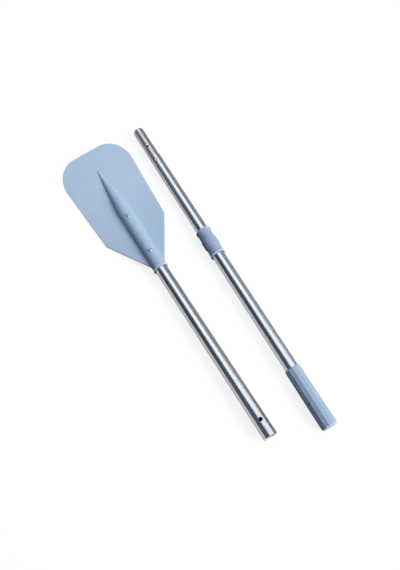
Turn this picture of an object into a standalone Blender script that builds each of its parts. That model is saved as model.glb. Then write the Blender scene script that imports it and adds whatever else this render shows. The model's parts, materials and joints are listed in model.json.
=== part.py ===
"""Take-apart aluminium oar, lying on the floor as its two halves.

The blade half lies along +Y with the blade's tip ahead. The handle half lies beside it at +X,
a little turned, with its spigot ahead. The origin is the middle of the floor area that the pair
covers, +Z is up and every size is in metres.

Each half is modelled along its own Y axis under an empty, and the empty gives it the small tilt
and roll that it has when it rests on its lip, rib and blade edge, or on its collar and grip.
"""

import math

import bmesh
import bpy
from mathutils import Vector

# Shaft tubes, which both halves share
TUBE_DIAMETER = 0.0220
TUBE_WALL = 0.0006

# Blade half, measured from the socket's lip
LOWER_TUBE_OUT_OF_SOCKET = 0.3253
TUBE_IN_SOCKET = 0.1400
SOCKET_WALL = 0.0015
LIP_FLARE = 0.0009
LIP_LENGTH = 0.0034
SOCKET_LENGTH = 0.1450
SPEAR_POINT_FROM_LIP = 0.2582
CORE_WALL = 0.0030
CORE_TIP_RADIUS = 0.0010
FOOT_FILLET = 0.0008
FOOT_GROWTH_LENGTH = 0.0100
FOOT_RUN_OUT = math.radians(15.0)
FOOT_SUNK = 0.00025
SPEAR_LAST_SHARE = 0.99
SPEAR_END_SHRINK = 0.4

# Blade plate
BLADE_LENGTH = 0.3092
PLATE_THICKNESS = 0.0030
PLATE_EDGE_RADIUS = 0.00135
RIM_FOLD = math.radians(60.0)
BLADE_HALF_WIDTH = 0.0709
TIP_CORNER_WIDTH = 0.0430
TIP_CORNER_LENGTH = 0.0600
SHOULDER_FROM_LIP = 0.0954
SHOULDER_HALF_WIDTH = 0.0603
SHOULDER_RADIUS = 0.0120
WING_ROOT_FROM_LIP = 0.0105
WING_ROOT_RADIUS = 0.0160

# Blind rivets that hold the tube in the socket
RIVET_FROM_LIP = 0.0350
RIVET_SPACING = 0.0855
RIVET_HEAD_DIAMETER = 0.0063
RIVET_HEAD_HEIGHT = 0.0015
RIVET_SHANK_DIAMETER = 0.0040
RIVET_BULB_DIAMETER = 0.0056
RIVET_TAIL_LENGTH = 0.0034
MANDREL_DIAMETER = 0.0018
MANDREL_HEAD_DIAMETER = 0.0032
MANDREL_HEAD_LENGTH = 0.0016
MANDREL_RECESS = 0.0007

# Spigot of the handle half, measured from the step where the upper tube ends
SPIGOT_WALL = 0.0006
SPIGOT_REACH = 0.0768
SPIGOT_HELD_LENGTH = 0.0600
SPIGOT_NOSE_RADIUS = 0.0018
SPIGOT_NOSE_TURN = math.radians(75.0)
DIMPLE_FROM_STEP = 0.0147
DIMPLE_DIAMETER = 0.0035
DIMPLE_DEPTH = 0.0009

# Snap button and its leaf spring
BUTTON_FROM_STEP = 0.0266
BUTTON_DIAMETER = 0.0058
BUTTON_PROUD = 0.0040
BUTTON_DOME_HEIGHT = 0.0019
BUTTON_TENON_DIAMETER = 0.0030
BUTTON_TAIL_DIAMETER = 0.0046
BUTTON_TAIL_THICKNESS = 0.0008
LEAF_THICKNESS = 0.0006
LEAF_WIDTH = 0.0070
LEAF_SEAT_LENGTH = 0.0140
LEAF_SLOPE_LENGTH = 0.0250
LEAF_KNEE_RADIUS = 0.0040
LEAF_FOLD_RADIUS = 0.0025

# Stop collar
COLLAR_FROM_STEP = 0.1986
COLLAR_LENGTH = 0.0558
COLLAR_WAIST_WALL = 0.0016
COLLAR_FLANGE_WALL = 0.0027
COLLAR_FLANGE_LENGTH = 0.0030
COLLAR_BAND_WALL = 0.0029
COLLAR_BAND_LENGTH = 0.0160
COLLAR_FLANGE_RAMP = 0.0034
COLLAR_BAND_RAMP = 0.0020

# Grip
GRIP_FROM_STEP = 0.4866
GRIP_LENGTH = 0.1000
GRIP_FLATS = 12
GRIP_WALL = 0.0010
GRIP_END_WALL = 0.0040
GRIP_END_RADIUS = 0.0038
GRIP_FRONT_RADIUS = 0.0006
PIN_FROM_STEP = 0.5451
PIN_DIAMETER = 0.0030
PIN_WALL = 0.0004
PIN_SLOT = 0.0006
PIN_LENGTH = 0.0050
PIN_BELOW_FLAT = 0.0002

# Moulded bungs that keep water out of the tubes
WATER_STOP_LENGTH = 0.0160
WATER_STOP_WALL = 0.0014
WATER_STOP_GROOVE = 0.0008
WATER_STOP_FROM_MOUTH = 0.0950
WATER_STOP_FROM_SLEEVE_END = 0.0020

# Clearances
MOULDING_CLEARANCE = 0.0003
SPIGOT_CLEARANCE = 0.0001
BUTTON_CLEARANCE = 0.0002
DRILL_CLEARANCE = 0.0002
METAL_CLEARANCE = 0.00015
PIN_CLEARANCE = 0.0001

# Directions about the tube's axis, from the half's own upright
DRILL_LINE_TURN = math.radians(5.0)
BUTTON_LINE_TURN = math.radians(-20.0)
PIN_TURN = math.radians(-54.0)

# Where the handle half lies beside the blade half
HANDLE_ASIDE = 0.1105
HANDLE_AHEAD_OF_LIP = 0.2277
HANDLE_TURN = math.radians(-2.75)

# Facets and shading
ROUND_STEPS = 48
SMALL_STEPS = 20
SHARP_ANGLE = math.radians(32.0)
FLAT_SHARP_ANGLE = math.radians(20.0)
WELD_DISTANCE = 0.000001
OVERSHOOT = 0.0020

# Radii that follow from the sizes above
TUBE_RADIUS = TUBE_DIAMETER / 2
TUBE_BORE = TUBE_RADIUS - TUBE_WALL
MOULDING_BORE = TUBE_RADIUS + MOULDING_CLEARANCE
SOCKET_RADIUS = MOULDING_BORE + SOCKET_WALL
SPIGOT_RADIUS = TUBE_BORE - SPIGOT_CLEARANCE
SPIGOT_BORE = SPIGOT_RADIUS - SPIGOT_WALL
PLATE_HALF = PLATE_THICKNESS / 2
GRIP_APOTHEM = MOULDING_BORE + GRIP_WALL
GRIP_CORNER_RADIUS = GRIP_APOTHEM / math.cos(math.pi / GRIP_FLATS)


def clear_scene():
    """Remove whatever objects the file holds."""
    for old in list(bpy.data.objects):
        bpy.data.objects.remove(old, do_unlink=True)


def finish(name, colour, metallic, roughness):
    """Make a Principled material."""
    material = bpy.data.materials.new(name)
    material.use_nodes = True
    shader = material.node_tree.nodes["Principled BSDF"]
    shader.inputs["Base Color"].default_value = (*colour, 1.0)
    shader.inputs["Metallic"].default_value = metallic
    shader.inputs["Roughness"].default_value = roughness
    material.diffuse_color = (*colour, 1.0)
    return material


def empty(name, parent=None, location=(0, 0, 0), rotation=(0, 0, 0)):
    """Add an empty that carries pieces: it rolls about Y first, then pitches and turns."""
    holder = bpy.data.objects.new(name, None)
    holder.rotation_mode = "YXZ"
    holder.empty_display_size = 0.02
    holder.parent = parent
    holder.location = location
    holder.rotation_euler = rotation
    bpy.context.scene.collection.objects.link(holder)
    return holder


def solid(name, shape, material, parent, location=(0, 0, 0)):
    """Turn a bmesh into a named object with smooth round faces."""
    mesh = bpy.data.meshes.new(name)
    shape.to_mesh(mesh)
    shape.free()
    mesh.materials.append(material)
    mesh.shade_smooth()
    mesh.set_sharp_from_angle(angle=SHARP_ANGLE)
    piece = bpy.data.objects.new(name, mesh)
    piece.parent = parent
    piece.location = location
    bpy.context.scene.collection.objects.link(piece)
    return piece


def tool(name, shape, parent, location=(0, 0, 0)):
    """Make a hidden solid that only shapes another piece."""
    mesh = bpy.data.meshes.new(name)
    shape.to_mesh(mesh)
    shape.free()
    cutter = bpy.data.objects.new(name, mesh)
    cutter.parent = parent
    cutter.location = location
    cutter.hide_render = True
    cutter.display_type = "WIRE"
    bpy.context.scene.collection.objects.link(cutter)
    return cutter


def combine(piece, other, operation):
    """Add a Boolean modifier to a piece."""
    modifier = piece.modifiers.new(other.name, "BOOLEAN")
    modifier.operation = operation
    modifier.solver = "EXACT"
    modifier.object = other


def cut(piece, other):
    """Take the other solid out of the piece."""
    combine(piece, other, "DIFFERENCE")


def fuse(piece, other):
    """Make the other solid part of the piece."""
    combine(piece, other, "UNION")


def turned(profile, upright=False, steps=ROUND_STEPS):
    """Spin a closed profile of (radius, along) points about Y, or about Z if upright."""
    shape = bmesh.new()
    points = []
    for radius, along in profile:
        place = (radius, 0, along) if upright else (radius, along, 0)
        points.append(shape.verts.new(place))
    edges = []
    for first, second in zip(points, points[1:] + points[:1]):
        on_axis = first.co.x < WELD_DISTANCE and second.co.x < WELD_DISTANCE
        if not on_axis:
            edges.append(shape.edges.new((first, second)))
    axis = (0, 0, 1) if upright else (0, 1, 0)
    bmesh.ops.spin(shape, geom=points + edges, cent=(0, 0, 0), axis=axis,
                   angle=2 * math.pi, steps=steps, use_merge=True)
    bmesh.ops.remove_doubles(shape, verts=shape.verts, dist=WELD_DISTANCE)
    bmesh.ops.recalc_face_normals(shape, faces=shape.faces)
    return shape


def tube_profile(outer, inner, start, end):
    """Profile of a plain tube or, with no inner radius, of a plain rod."""
    return [(outer, start), (outer, end), (inner, end), (inner, start)]


def arc(centre, radii, start, end, steps):
    """Points on an arc or elliptical arc, from one angle to another."""
    points = []
    for step in range(steps + 1):
        angle = start + (end - start) * step / steps
        points.append((centre[0] + radii[0] * math.cos(angle),
                       centre[1] + radii[1] * math.sin(angle)))
    return points


def rounded_corner(before, corner, after, radius, steps):
    """Replace a corner by an arc that touches both of its sides."""
    corner = Vector(corner)
    towards_before = (Vector(before) - corner).normalized()
    towards_after = (Vector(after) - corner).normalized()
    half_angle = towards_before.angle(towards_after) / 2
    tangent = radius / math.tan(half_angle)
    middle = (towards_before + towards_after).normalized()
    centre = corner + middle * (radius / math.sin(half_angle))
    first = corner + towards_before * tangent - centre
    sweep = first.angle_signed(corner + towards_after * tangent - centre)
    points = []
    for step in range(steps + 1):
        angle = -sweep * step / steps
        points.append((centre.x + first.x * math.cos(angle) - first.y * math.sin(angle),
                       centre.y + first.x * math.sin(angle) + first.y * math.cos(angle)))
    return points


def extruded(outline, thickness):
    """Extrude a flat outline of (x, y) points, centred on its own plane."""
    shape = bmesh.new()
    bottom = [shape.verts.new((x, y, -thickness / 2)) for x, y in outline]
    face = shape.faces.new(bottom)
    raised = bmesh.ops.extrude_face_region(shape, geom=[face])
    top = [item for item in raised["geom"] if isinstance(item, bmesh.types.BMVert)]
    bmesh.ops.translate(shape, verts=top, vec=(0, 0, thickness))
    bmesh.ops.recalc_face_normals(shape, faces=shape.faces)
    return shape


def lofted(sections):
    """Skin a row of equal-sized loops of points and close both ends."""
    shape = bmesh.new()
    loops = [[shape.verts.new(point) for point in section] for section in sections]
    for loop, following in zip(loops, loops[1:]):
        for index, vertex in enumerate(loop):
            after = (index + 1) % len(loop)
            shape.faces.new((vertex, loop[after], following[after], following[index]))
    shape.faces.new(loops[0])
    shape.faces.new(loops[-1])
    bmesh.ops.recalc_face_normals(shape, faces=shape.faces)
    return shape


def radial_drill(name, radius, start, end, parent, along, turn):
    """Make a drill that enters the tube from the side, at a turn about the tube's axis."""
    drill = tool(name, turned(tube_profile(radius, 0, start, end), True, SMALL_STEPS), parent,
                 (0, along, 0))
    drill.rotation_euler = (0, turn, 0)
    return drill


def plate_outline():
    """Blade outline: wing root, shoulder, straight side and elliptical tip corner."""
    tip_centre = (BLADE_HALF_WIDTH - TIP_CORNER_WIDTH, BLADE_LENGTH - TIP_CORNER_LENGTH)
    shoulder = (SHOULDER_HALF_WIDTH, SHOULDER_FROM_LIP)
    across = (shoulder[0] - tip_centre[0]) / TIP_CORNER_WIDTH
    along = (shoulder[1] - tip_centre[1]) / TIP_CORNER_LENGTH
    touch = math.atan2(along, across) + math.acos(1 / math.hypot(across, along))
    corner = arc(tip_centre, (TIP_CORNER_WIDTH, TIP_CORNER_LENGTH), touch, math.pi / 2, 14)
    wing_root = (SOCKET_RADIUS, WING_ROOT_FROM_LIP)
    below_root = (SOCKET_RADIUS, 0)
    inside_wall = MOULDING_BORE + SOCKET_WALL / 2
    root = rounded_corner(below_root, wing_root, shoulder, WING_ROOT_RADIUS, 6)
    right = [(inside_wall, root[0][1])]
    right += root
    right += rounded_corner(wing_root, shoulder, corner[0], SHOULDER_RADIUS, 4)
    right += corner
    left = [(-x, y) for x, y in reversed(right)]
    return right + left


def rib_radius(along):
    """Outer radius of lip, socket and tapering spear at a distance from the lip."""
    if along < LIP_LENGTH:
        share = along / LIP_LENGTH
        return SOCKET_RADIUS + LIP_FLARE * (1 + math.cos(math.pi * share)) / 2
    if along <= SOCKET_LENGTH:
        return SOCKET_RADIUS
    left = (SPEAR_POINT_FROM_LIP - along) / (SPEAR_POINT_FROM_LIP - SOCKET_LENGTH)
    return PLATE_HALF + (SOCKET_RADIUS - PLATE_HALF) * left


def foot_start():
    """Distance from the lip at which the wings are wide enough for the foot fillet."""
    widening = (SHOULDER_HALF_WIDTH - SOCKET_RADIUS) / (SHOULDER_FROM_LIP - WING_ROOT_FROM_LIP)
    return WING_ROOT_FROM_LIP + (2 * FOOT_FILLET + PLATE_EDGE_RADIUS) / widening


def foot_fillet(along):
    """Radius of the fillet between rib and plate, which fades at both ends."""
    growth = min(max((along - foot_start()) / FOOT_GROWTH_LENGTH, 0), 1)
    height = (rib_radius(along) - PLATE_HALF) / (SOCKET_RADIUS - PLATE_HALF)
    return FOOT_FILLET * growth * min(height, 1)


def rib_quarter(along):
    """One quarter of the rib's section: crown arc, foot fillet and what the plate hides."""
    crown_steps = 8
    foot_steps = 4
    radius = rib_radius(along)
    fillet = foot_fillet(along)
    low = math.asin(min((PLATE_HALF + fillet) / (radius + fillet), 1))
    points = arc((0, 0), (radius, radius), math.pi / 2, low, crown_steps)
    if fillet == 0:
        return points + arc((0, 0), (radius, radius), low, 0, foot_steps + 2)[1:]
    centre = ((radius + fillet) * math.cos(low), PLATE_HALF + fillet)
    points += arc(centre, (fillet, fillet), math.pi + low, 3 * math.pi / 2 - FOOT_RUN_OUT,
                  foot_steps)[1:]
    drop = points[-1][1] - (PLATE_HALF - FOOT_SUNK)
    points.append((points[-1][0] + drop / math.tan(FOOT_RUN_OUT), PLATE_HALF - FOOT_SUNK))
    points.append((points[-1][0], 0))
    return points


def rib_section(along, shrink=1.0):
    """Whole loop of the rib's section at a distance from the lip."""
    quarter = [(x * shrink, z * shrink) for x, z in rib_quarter(along)]
    right = quarter + [(x, -z) for x, z in reversed(quarter[:-1])]
    left = [(-x, z) for x, z in reversed(right[1:-1])]
    return [(x, along, z) for x, z in right + left]


def rib_stations():
    """Places along the blade where the rib's section changes."""
    lip_steps = 5
    root_steps = 4
    spear_steps = 7
    lip = [LIP_LENGTH * step / lip_steps for step in range(lip_steps + 1)]
    root = [foot_start() + FOOT_GROWTH_LENGTH * step / root_steps
            for step in range(root_steps + 1)]
    spear = (SPEAR_POINT_FROM_LIP - SOCKET_LENGTH) * SPEAR_LAST_SHARE
    tip = [SOCKET_LENGTH + spear * math.sin(math.pi / 2 * step / spear_steps)
           for step in range(spear_steps + 1)]
    return lip + root + tip


def make_blade(parent, material):
    """Plate, rib, socket and lip as one moulding, cored out as far as its rib allows."""
    shape = extruded(plate_outline(), PLATE_THICKNESS)
    rim = [edge for edge in shape.edges if edge.calc_face_angle(0) > RIM_FOLD]
    rim = [edge for edge in rim if abs(edge.verts[0].co.z - edge.verts[1].co.z) < WELD_DISTANCE]
    bmesh.ops.bevel(shape, geom=rim, offset=PLATE_EDGE_RADIUS, segments=3, profile=0.5,
                    affect="EDGES")
    blade = solid("blade", shape, material, parent)
    stations = rib_stations()
    sections = [rib_section(along) for along in stations]
    buried = [(x, along + PLATE_HALF, z)
              for x, along, z in rib_section(stations[-1], SPEAR_END_SHRINK)]
    fuse(blade, tool("blade_rib", lofted(sections + [buried]), parent))
    core_radius = SOCKET_RADIUS - CORE_WALL
    slope = (SOCKET_RADIUS - PLATE_HALF) / (SPEAR_POINT_FROM_LIP - SOCKET_LENGTH)
    seat = TUBE_IN_SOCKET + MOULDING_CLEARANCE
    core_tip = SOCKET_LENGTH + (core_radius - CORE_TIP_RADIUS) / slope
    core = [(0, -OVERSHOOT), (MOULDING_BORE, -OVERSHOOT), (MOULDING_BORE, seat),
            (core_radius, seat), (core_radius, SOCKET_LENGTH), (CORE_TIP_RADIUS, core_tip),
            (0, core_tip + CORE_TIP_RADIUS)]
    cut(blade, tool("blade_core", turned(core), parent))
    for name, along in rivet_places():
        cut(blade, radial_drill("blade_drill_" + name, RIVET_SHANK_DIAMETER / 2 + DRILL_CLEARANCE,
                                TUBE_BORE, SOCKET_RADIUS + OVERSHOOT, parent, along,
                                DRILL_LINE_TURN))
    return blade


def rivet_places():
    """Name and distance from the lip of each rivet."""
    return [("mouth", RIVET_FROM_LIP), ("tip", RIVET_FROM_LIP + RIVET_SPACING)]


def make_lower_tube(parent, material):
    """Straight tube with its button hole and the rivets' holes."""
    mouth = -LOWER_TUBE_OUT_OF_SOCKET
    tube = solid("lower_tube",
                 turned(tube_profile(TUBE_RADIUS, TUBE_BORE, mouth, TUBE_IN_SOCKET)),
                 material, parent)
    cut(tube, radial_drill("button_hole_drill", BUTTON_DIAMETER / 2 + BUTTON_CLEARANCE,
                           TUBE_BORE - OVERSHOOT, TUBE_RADIUS + OVERSHOOT, parent,
                           mouth + BUTTON_FROM_STEP, DRILL_LINE_TURN))
    for name, along in rivet_places():
        cut(tube, radial_drill("tube_drill_" + name, RIVET_SHANK_DIAMETER / 2 + DRILL_CLEARANCE,
                               TUBE_BORE - OVERSHOOT, TUBE_RADIUS + OVERSHOOT, parent, along,
                               DRILL_LINE_TURN))
    return tube


def make_rivet(name, along, parent, material, mandrel_material):
    """Set blind rivet: dome outside, swollen tail inside the tube, mandrel head in the tail."""
    frame = empty("rivet_axis_" + name, parent, (0, along, 0), (0, DRILL_LINE_TURN, 0))
    seat = SOCKET_RADIUS + METAL_CLEARANCE
    head = RIVET_HEAD_DIAMETER / 2
    shank = RIVET_SHANK_DIAMETER / 2
    bulb = RIVET_BULB_DIAMETER / 2
    bore = MANDREL_DIAMETER / 2 + METAL_CLEARANCE
    bulb_top = math.sqrt(TUBE_BORE ** 2 - bulb ** 2) - METAL_CLEARANCE
    tail = bulb_top - RIVET_TAIL_LENGTH
    crown_start = math.acos(bore / head)
    dome = arc((0, seat), (head, RIVET_HEAD_HEIGHT), 0, crown_start, 6)
    body = dome + [(bore, tail), (shank, tail), (bulb, tail + (bulb - shank)),
                   (bulb, bulb_top - (bulb - shank) / 2), (shank, bulb_top), (shank, seat)]
    solid("socket_rivet_" + name, turned(body, True, SMALL_STEPS), material, frame)
    pin = MANDREL_DIAMETER / 2
    head_top = tail - METAL_CLEARANCE
    pin_top = seat + RIVET_HEAD_HEIGHT - MANDREL_RECESS
    big = MANDREL_HEAD_DIAMETER / 2
    mandrel = [(0, pin_top), (pin, pin_top), (pin, head_top), (big, head_top)]
    mandrel += arc((0, head_top - MANDREL_HEAD_LENGTH / 2), (big, MANDREL_HEAD_LENGTH / 2),
                   0, -math.pi / 2, 4)
    solid("rivet_mandrel_" + name, turned(mandrel, True, SMALL_STEPS), mandrel_material, frame)


def water_stop_profile(bore, face, away):
    """Cup-shaped bung for a bore, closed at its face, with grooves that leave sealing rings."""
    outer = bore - METAL_CLEARANCE
    groove = outer - WATER_STOP_GROOVE
    inner = groove - WATER_STOP_WALL
    land = WATER_STOP_LENGTH / 5
    steps = [(0, 0), (outer, 0), (outer, land), (groove, land), (groove, 2 * land),
             (outer, 2 * land), (outer, 3 * land), (groove, 3 * land), (groove, 4 * land),
             (outer, 4 * land), (outer, WATER_STOP_LENGTH), (inner, WATER_STOP_LENGTH),
             (inner, WATER_STOP_WALL), (0, WATER_STOP_WALL)]
    return [(radius, face + away * depth) for radius, depth in steps]


def make_upper_tube(parent, material):
    """Long tube of the handle half, with a punched dimple that locks the spigot."""
    inner_end = GRIP_FROM_STEP + GRIP_LENGTH - GRIP_END_WALL - MOULDING_CLEARANCE
    tube = solid("upper_tube", turned(tube_profile(TUBE_RADIUS, TUBE_BORE, -inner_end, 0)),
                 material, parent)
    inside_wall = TUBE_RADIUS - TUBE_WALL / 3
    boss = radial_drill("dimple_boss", dimple_boss_radius(), dimple_floor(), inside_wall, parent,
                        -DIMPLE_FROM_STEP, BUTTON_LINE_TURN)
    fuse(tube, boss)
    mouth = DIMPLE_DIAMETER / 2
    ball = (mouth ** 2 + DIMPLE_DEPTH ** 2) / (2 * DIMPLE_DEPTH)
    centre = TUBE_RADIUS - DIMPLE_DEPTH + ball
    punch = tool("dimple_punch",
                 turned(arc((0, centre), (ball, ball), -math.pi / 2, math.pi / 2, 8), True,
                        SMALL_STEPS),
                 parent, (0, -DIMPLE_FROM_STEP, 0))
    punch.rotation_euler = (0, BUTTON_LINE_TURN, 0)
    cut(tube, punch)
    cut(tube, radial_drill("tube_pin_drill", PIN_DIAMETER / 2 + PIN_CLEARANCE,
                           TUBE_BORE - OVERSHOOT, TUBE_RADIUS + OVERSHOOT, parent,
                           -PIN_FROM_STEP, PIN_TURN))
    return tube


def dimple_floor():
    """Distance from the tube's axis to the inner side of the dimple."""
    return TUBE_RADIUS - DIMPLE_DEPTH - TUBE_WALL


def dimple_boss_radius():
    """Radius of the bump that the dimple makes inside the tube."""
    return DIMPLE_DIAMETER / 2 + TUBE_WALL


def make_spigot(parent, material):
    """Sleeve that stands out of the upper tube, with a rounded nose and a button hole."""
    bend = SPIGOT_REACH - SPIGOT_NOSE_RADIUS
    outside = SPIGOT_NOSE_RADIUS
    inside = SPIGOT_NOSE_RADIUS - SPIGOT_WALL
    centre = (SPIGOT_RADIUS - SPIGOT_NOSE_RADIUS, bend)
    profile = [(SPIGOT_RADIUS, -SPIGOT_HELD_LENGTH)]
    profile += arc(centre, (outside, outside), 0, SPIGOT_NOSE_TURN, 5)
    profile += arc(centre, (inside, inside), SPIGOT_NOSE_TURN, 0, 5)
    profile += [(SPIGOT_BORE, -SPIGOT_HELD_LENGTH)]
    sleeve = solid("spigot_sleeve", turned(profile), material, parent)
    cut(sleeve, radial_drill("spigot_button_drill", BUTTON_DIAMETER / 2 + BUTTON_CLEARANCE,
                             SPIGOT_BORE - OVERSHOOT, SPIGOT_RADIUS + OVERSHOOT, parent,
                             BUTTON_FROM_STEP, BUTTON_LINE_TURN))
    cut(sleeve, radial_drill("spigot_dimple_drill", dimple_boss_radius() + DRILL_CLEARANCE,
                             SPIGOT_BORE - OVERSHOOT, SPIGOT_RADIUS + OVERSHOOT, parent,
                             -DIMPLE_FROM_STEP, BUTTON_LINE_TURN))
    return sleeve


def leaf_top():
    """Height of the leaf spring's upper face above the tube's axis, under the button."""
    return math.sqrt(SPIGOT_BORE ** 2 - (LEAF_WIDTH / 2) ** 2) - METAL_CLEARANCE


def make_button(frame, material):
    """Domed pin with a tenon riveted through the leaf spring."""
    top = SPIGOT_RADIUS + BUTTON_PROUD
    pin = BUTTON_DIAMETER / 2
    tenon = BUTTON_TENON_DIAMETER / 2
    tail = BUTTON_TAIL_DIAMETER / 2
    shoulder = leaf_top() + METAL_CLEARANCE
    tail_top = leaf_top() - LEAF_THICKNESS - METAL_CLEARANCE
    tail_end = tail_top - BUTTON_TAIL_THICKNESS
    profile = arc((0, top - BUTTON_DOME_HEIGHT), (pin, BUTTON_DOME_HEIGHT), math.pi / 2, 0, 6)
    profile += [(pin, shoulder), (tenon, shoulder), (tenon, tail_top), (tail, tail_top),
                (tail, tail_end), (0, tail_end)]
    return solid("snap_button", turned(profile, True, SMALL_STEPS), material, frame)


def offset_path(path, distance):
    """Shift an open path of (y, z) points sideways by a distance, with mitred corners."""
    shifted = []
    for index, point in enumerate(path):
        before = Vector(path[max(index - 1, 0)])
        after = Vector(path[min(index + 1, len(path) - 1)])
        here = Vector(point)
        incoming = (here - before).normalized() if index > 0 else (after - here).normalized()
        outgoing = (after - here).normalized() if index < len(path) - 1 else incoming
        sideways = Vector((-incoming.y - outgoing.y, incoming.x + outgoing.x)).normalized()
        stretch = sideways.dot(Vector((-incoming.y, incoming.x)))
        shifted.append(here + sideways * (distance / stretch))
    return [(place.x, place.y) for place in shifted]


def make_button_spring(frame, material):
    """Strip folded into a V: both legs lie against the sleeve, the fold points inwards."""
    height = leaf_top() - LEAF_THICKNESS / 2
    seat = LEAF_SEAT_LENGTH / 2
    fold = -seat - LEAF_SLOPE_LENGTH
    path = [(seat, height)]
    path += rounded_corner((seat, height), (-seat, height), (fold, 0), LEAF_KNEE_RADIUS, 3)
    path += rounded_corner((-seat, height), (fold, 0), (-seat, -height), LEAF_FOLD_RADIUS, 8)
    path += rounded_corner((fold, 0), (-seat, -height), (seat, -height), LEAF_KNEE_RADIUS, 3)
    path += [(seat, -height)]
    strip = offset_path(path, LEAF_THICKNESS / 2)
    strip += reversed(offset_path(path, -LEAF_THICKNESS / 2))
    shape = extruded(strip, LEAF_WIDTH)
    for vertex in shape.verts:
        vertex.co = (vertex.co.z, vertex.co.x, vertex.co.y)
    bmesh.ops.recalc_face_normals(shape, faces=shape.faces)
    spring = solid("button_spring", shape, material, frame)
    hole = BUTTON_TENON_DIAMETER / 2 + METAL_CLEARANCE
    cut(spring, radial_drill("leaf_drill", hole, 0, SPIGOT_BORE, frame, 0, 0))
    return spring


def ramp(first, second, start, end, steps):
    """Soft S-shaped change of radius between two places along the axis."""
    points = []
    for step in range(steps + 1):
        share = step / steps
        blend = (1 - math.cos(math.pi * share)) / 2
        points.append((first + (second - first) * blend, start + (end - start) * share))
    return points


def make_collar(parent, material):
    """Collar with rounded end flanges, two waists and a raised middle band."""
    front = COLLAR_LENGTH / 2
    flange = MOULDING_BORE + COLLAR_FLANGE_WALL
    waist = MOULDING_BORE + COLLAR_WAIST_WALL
    band = MOULDING_BORE + COLLAR_BAND_WALL
    nose = min(COLLAR_FLANGE_LENGTH / 2, COLLAR_FLANGE_WALL / 2)
    flange_side = front - COLLAR_FLANGE_LENGTH
    band_side = COLLAR_BAND_LENGTH / 2
    half = [(MOULDING_BORE, front)]
    half += arc((flange - nose, front - nose), (nose, nose), math.pi / 2, 0, 3)
    half += ramp(flange, waist, flange_side, flange_side - COLLAR_FLANGE_RAMP, 4)
    half += ramp(waist, band, band_side, band_side - COLLAR_BAND_RAMP, 4)
    profile = half + [(radius, -along) for radius, along in reversed(half)]
    centre = -COLLAR_FROM_STEP - COLLAR_LENGTH / 2
    return solid("stop_collar", turned(profile), material, parent, (0, centre, 0))


def make_grip(parent, material):
    """Twelve-sided grip with a bore for the tube and a closed, well rounded end."""
    half_flat = math.pi / GRIP_FLATS
    outline = []
    for corner in range(GRIP_FLATS):
        angle = half_flat * (2 * corner + 1)
        outline.append((GRIP_CORNER_RADIUS * math.sin(angle),
                        GRIP_CORNER_RADIUS * math.cos(angle)))
    shape = extruded(outline, GRIP_LENGTH)
    for vertex in shape.verts:
        vertex.co = (vertex.co.x, vertex.co.z - GRIP_FROM_STEP - GRIP_LENGTH / 2, vertex.co.y)
    bmesh.ops.recalc_face_normals(shape, faces=shape.faces)
    for level, radius, steps in ((-GRIP_FROM_STEP - GRIP_LENGTH, GRIP_END_RADIUS, 6),
                                 (-GRIP_FROM_STEP, GRIP_FRONT_RADIUS, 2)):
        rim = [edge for edge in shape.edges
               if all(abs(vertex.co.y - level) < WELD_DISTANCE for vertex in edge.verts)]
        bmesh.ops.bevel(shape, geom=rim, offset=radius, segments=steps, profile=0.5,
                        affect="EDGES")
    grip = solid("grip", shape, material, parent)
    grip.data.set_sharp_from_angle(angle=FLAT_SHARP_ANGLE)
    bore_end = -GRIP_FROM_STEP - GRIP_LENGTH + GRIP_END_WALL
    bore = tube_profile(MOULDING_BORE, 0, bore_end, -GRIP_FROM_STEP + OVERSHOOT)
    cut(grip, tool("grip_bore", turned(bore), parent))
    cut(grip, radial_drill("grip_pin_drill", PIN_DIAMETER / 2 + PIN_CLEARANCE, TUBE_BORE,
                           GRIP_CORNER_RADIUS + OVERSHOOT, parent, -PIN_FROM_STEP, PIN_TURN))
    return grip


def make_roll_pin(parent, material):
    """Slotted spring pin through the grip's wall and the tube's wall."""
    frame = empty("roll_pin_axis", parent, (0, -PIN_FROM_STEP, 0), (0, PIN_TURN, 0))
    outer = PIN_DIAMETER / 2
    inner = outer - PIN_WALL
    top = GRIP_APOTHEM - PIN_BELOW_FLAT
    gap = PIN_SLOT / outer / 2
    outline = arc((0, 0), (outer, outer), gap, 2 * math.pi - gap, SMALL_STEPS)
    outline += arc((0, 0), (inner, inner), 2 * math.pi - gap, gap, SMALL_STEPS)
    shape = extruded(outline, PIN_LENGTH)
    bmesh.ops.translate(shape, verts=shape.verts, vec=(0, 0, top - PIN_LENGTH / 2))
    return solid("grip_roll_pin", shape, material, frame)


def make_lower_half(parent, finishes):
    """Blade half: tube, moulded blade, rivets and bung."""
    make_blade(parent, finishes["moulding"])
    make_lower_tube(parent, finishes["aluminium"])
    for name, along in rivet_places():
        make_rivet(name, along, parent, finishes["rivet"], finishes["steel"])
    face = WATER_STOP_FROM_MOUTH - LOWER_TUBE_OUT_OF_SOCKET
    solid("lower_water_stop", turned(water_stop_profile(TUBE_BORE, face, 1)),
          finishes["bung"], parent)


def make_upper_half(parent, finishes):
    """Handle half: tube, spigot with its snap button, collar, grip and bung."""
    make_upper_tube(parent, finishes["aluminium"])
    make_spigot(parent, finishes["sleeve"])
    frame = empty("button_axis", parent, (0, BUTTON_FROM_STEP, 0), (0, BUTTON_LINE_TURN, 0))
    make_button(frame, finishes["steel"])
    make_button_spring(frame, finishes["spring"])
    make_collar(parent, finishes["moulding"])
    make_grip(parent, finishes["moulding"])
    make_roll_pin(parent, finishes["steel"])
    face = WATER_STOP_FROM_SLEEVE_END + WATER_STOP_LENGTH - SPIGOT_HELD_LENGTH
    solid("upper_water_stop", turned(water_stop_profile(SPIGOT_BORE, face, -1)),
          finishes["bung"], parent)


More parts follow.
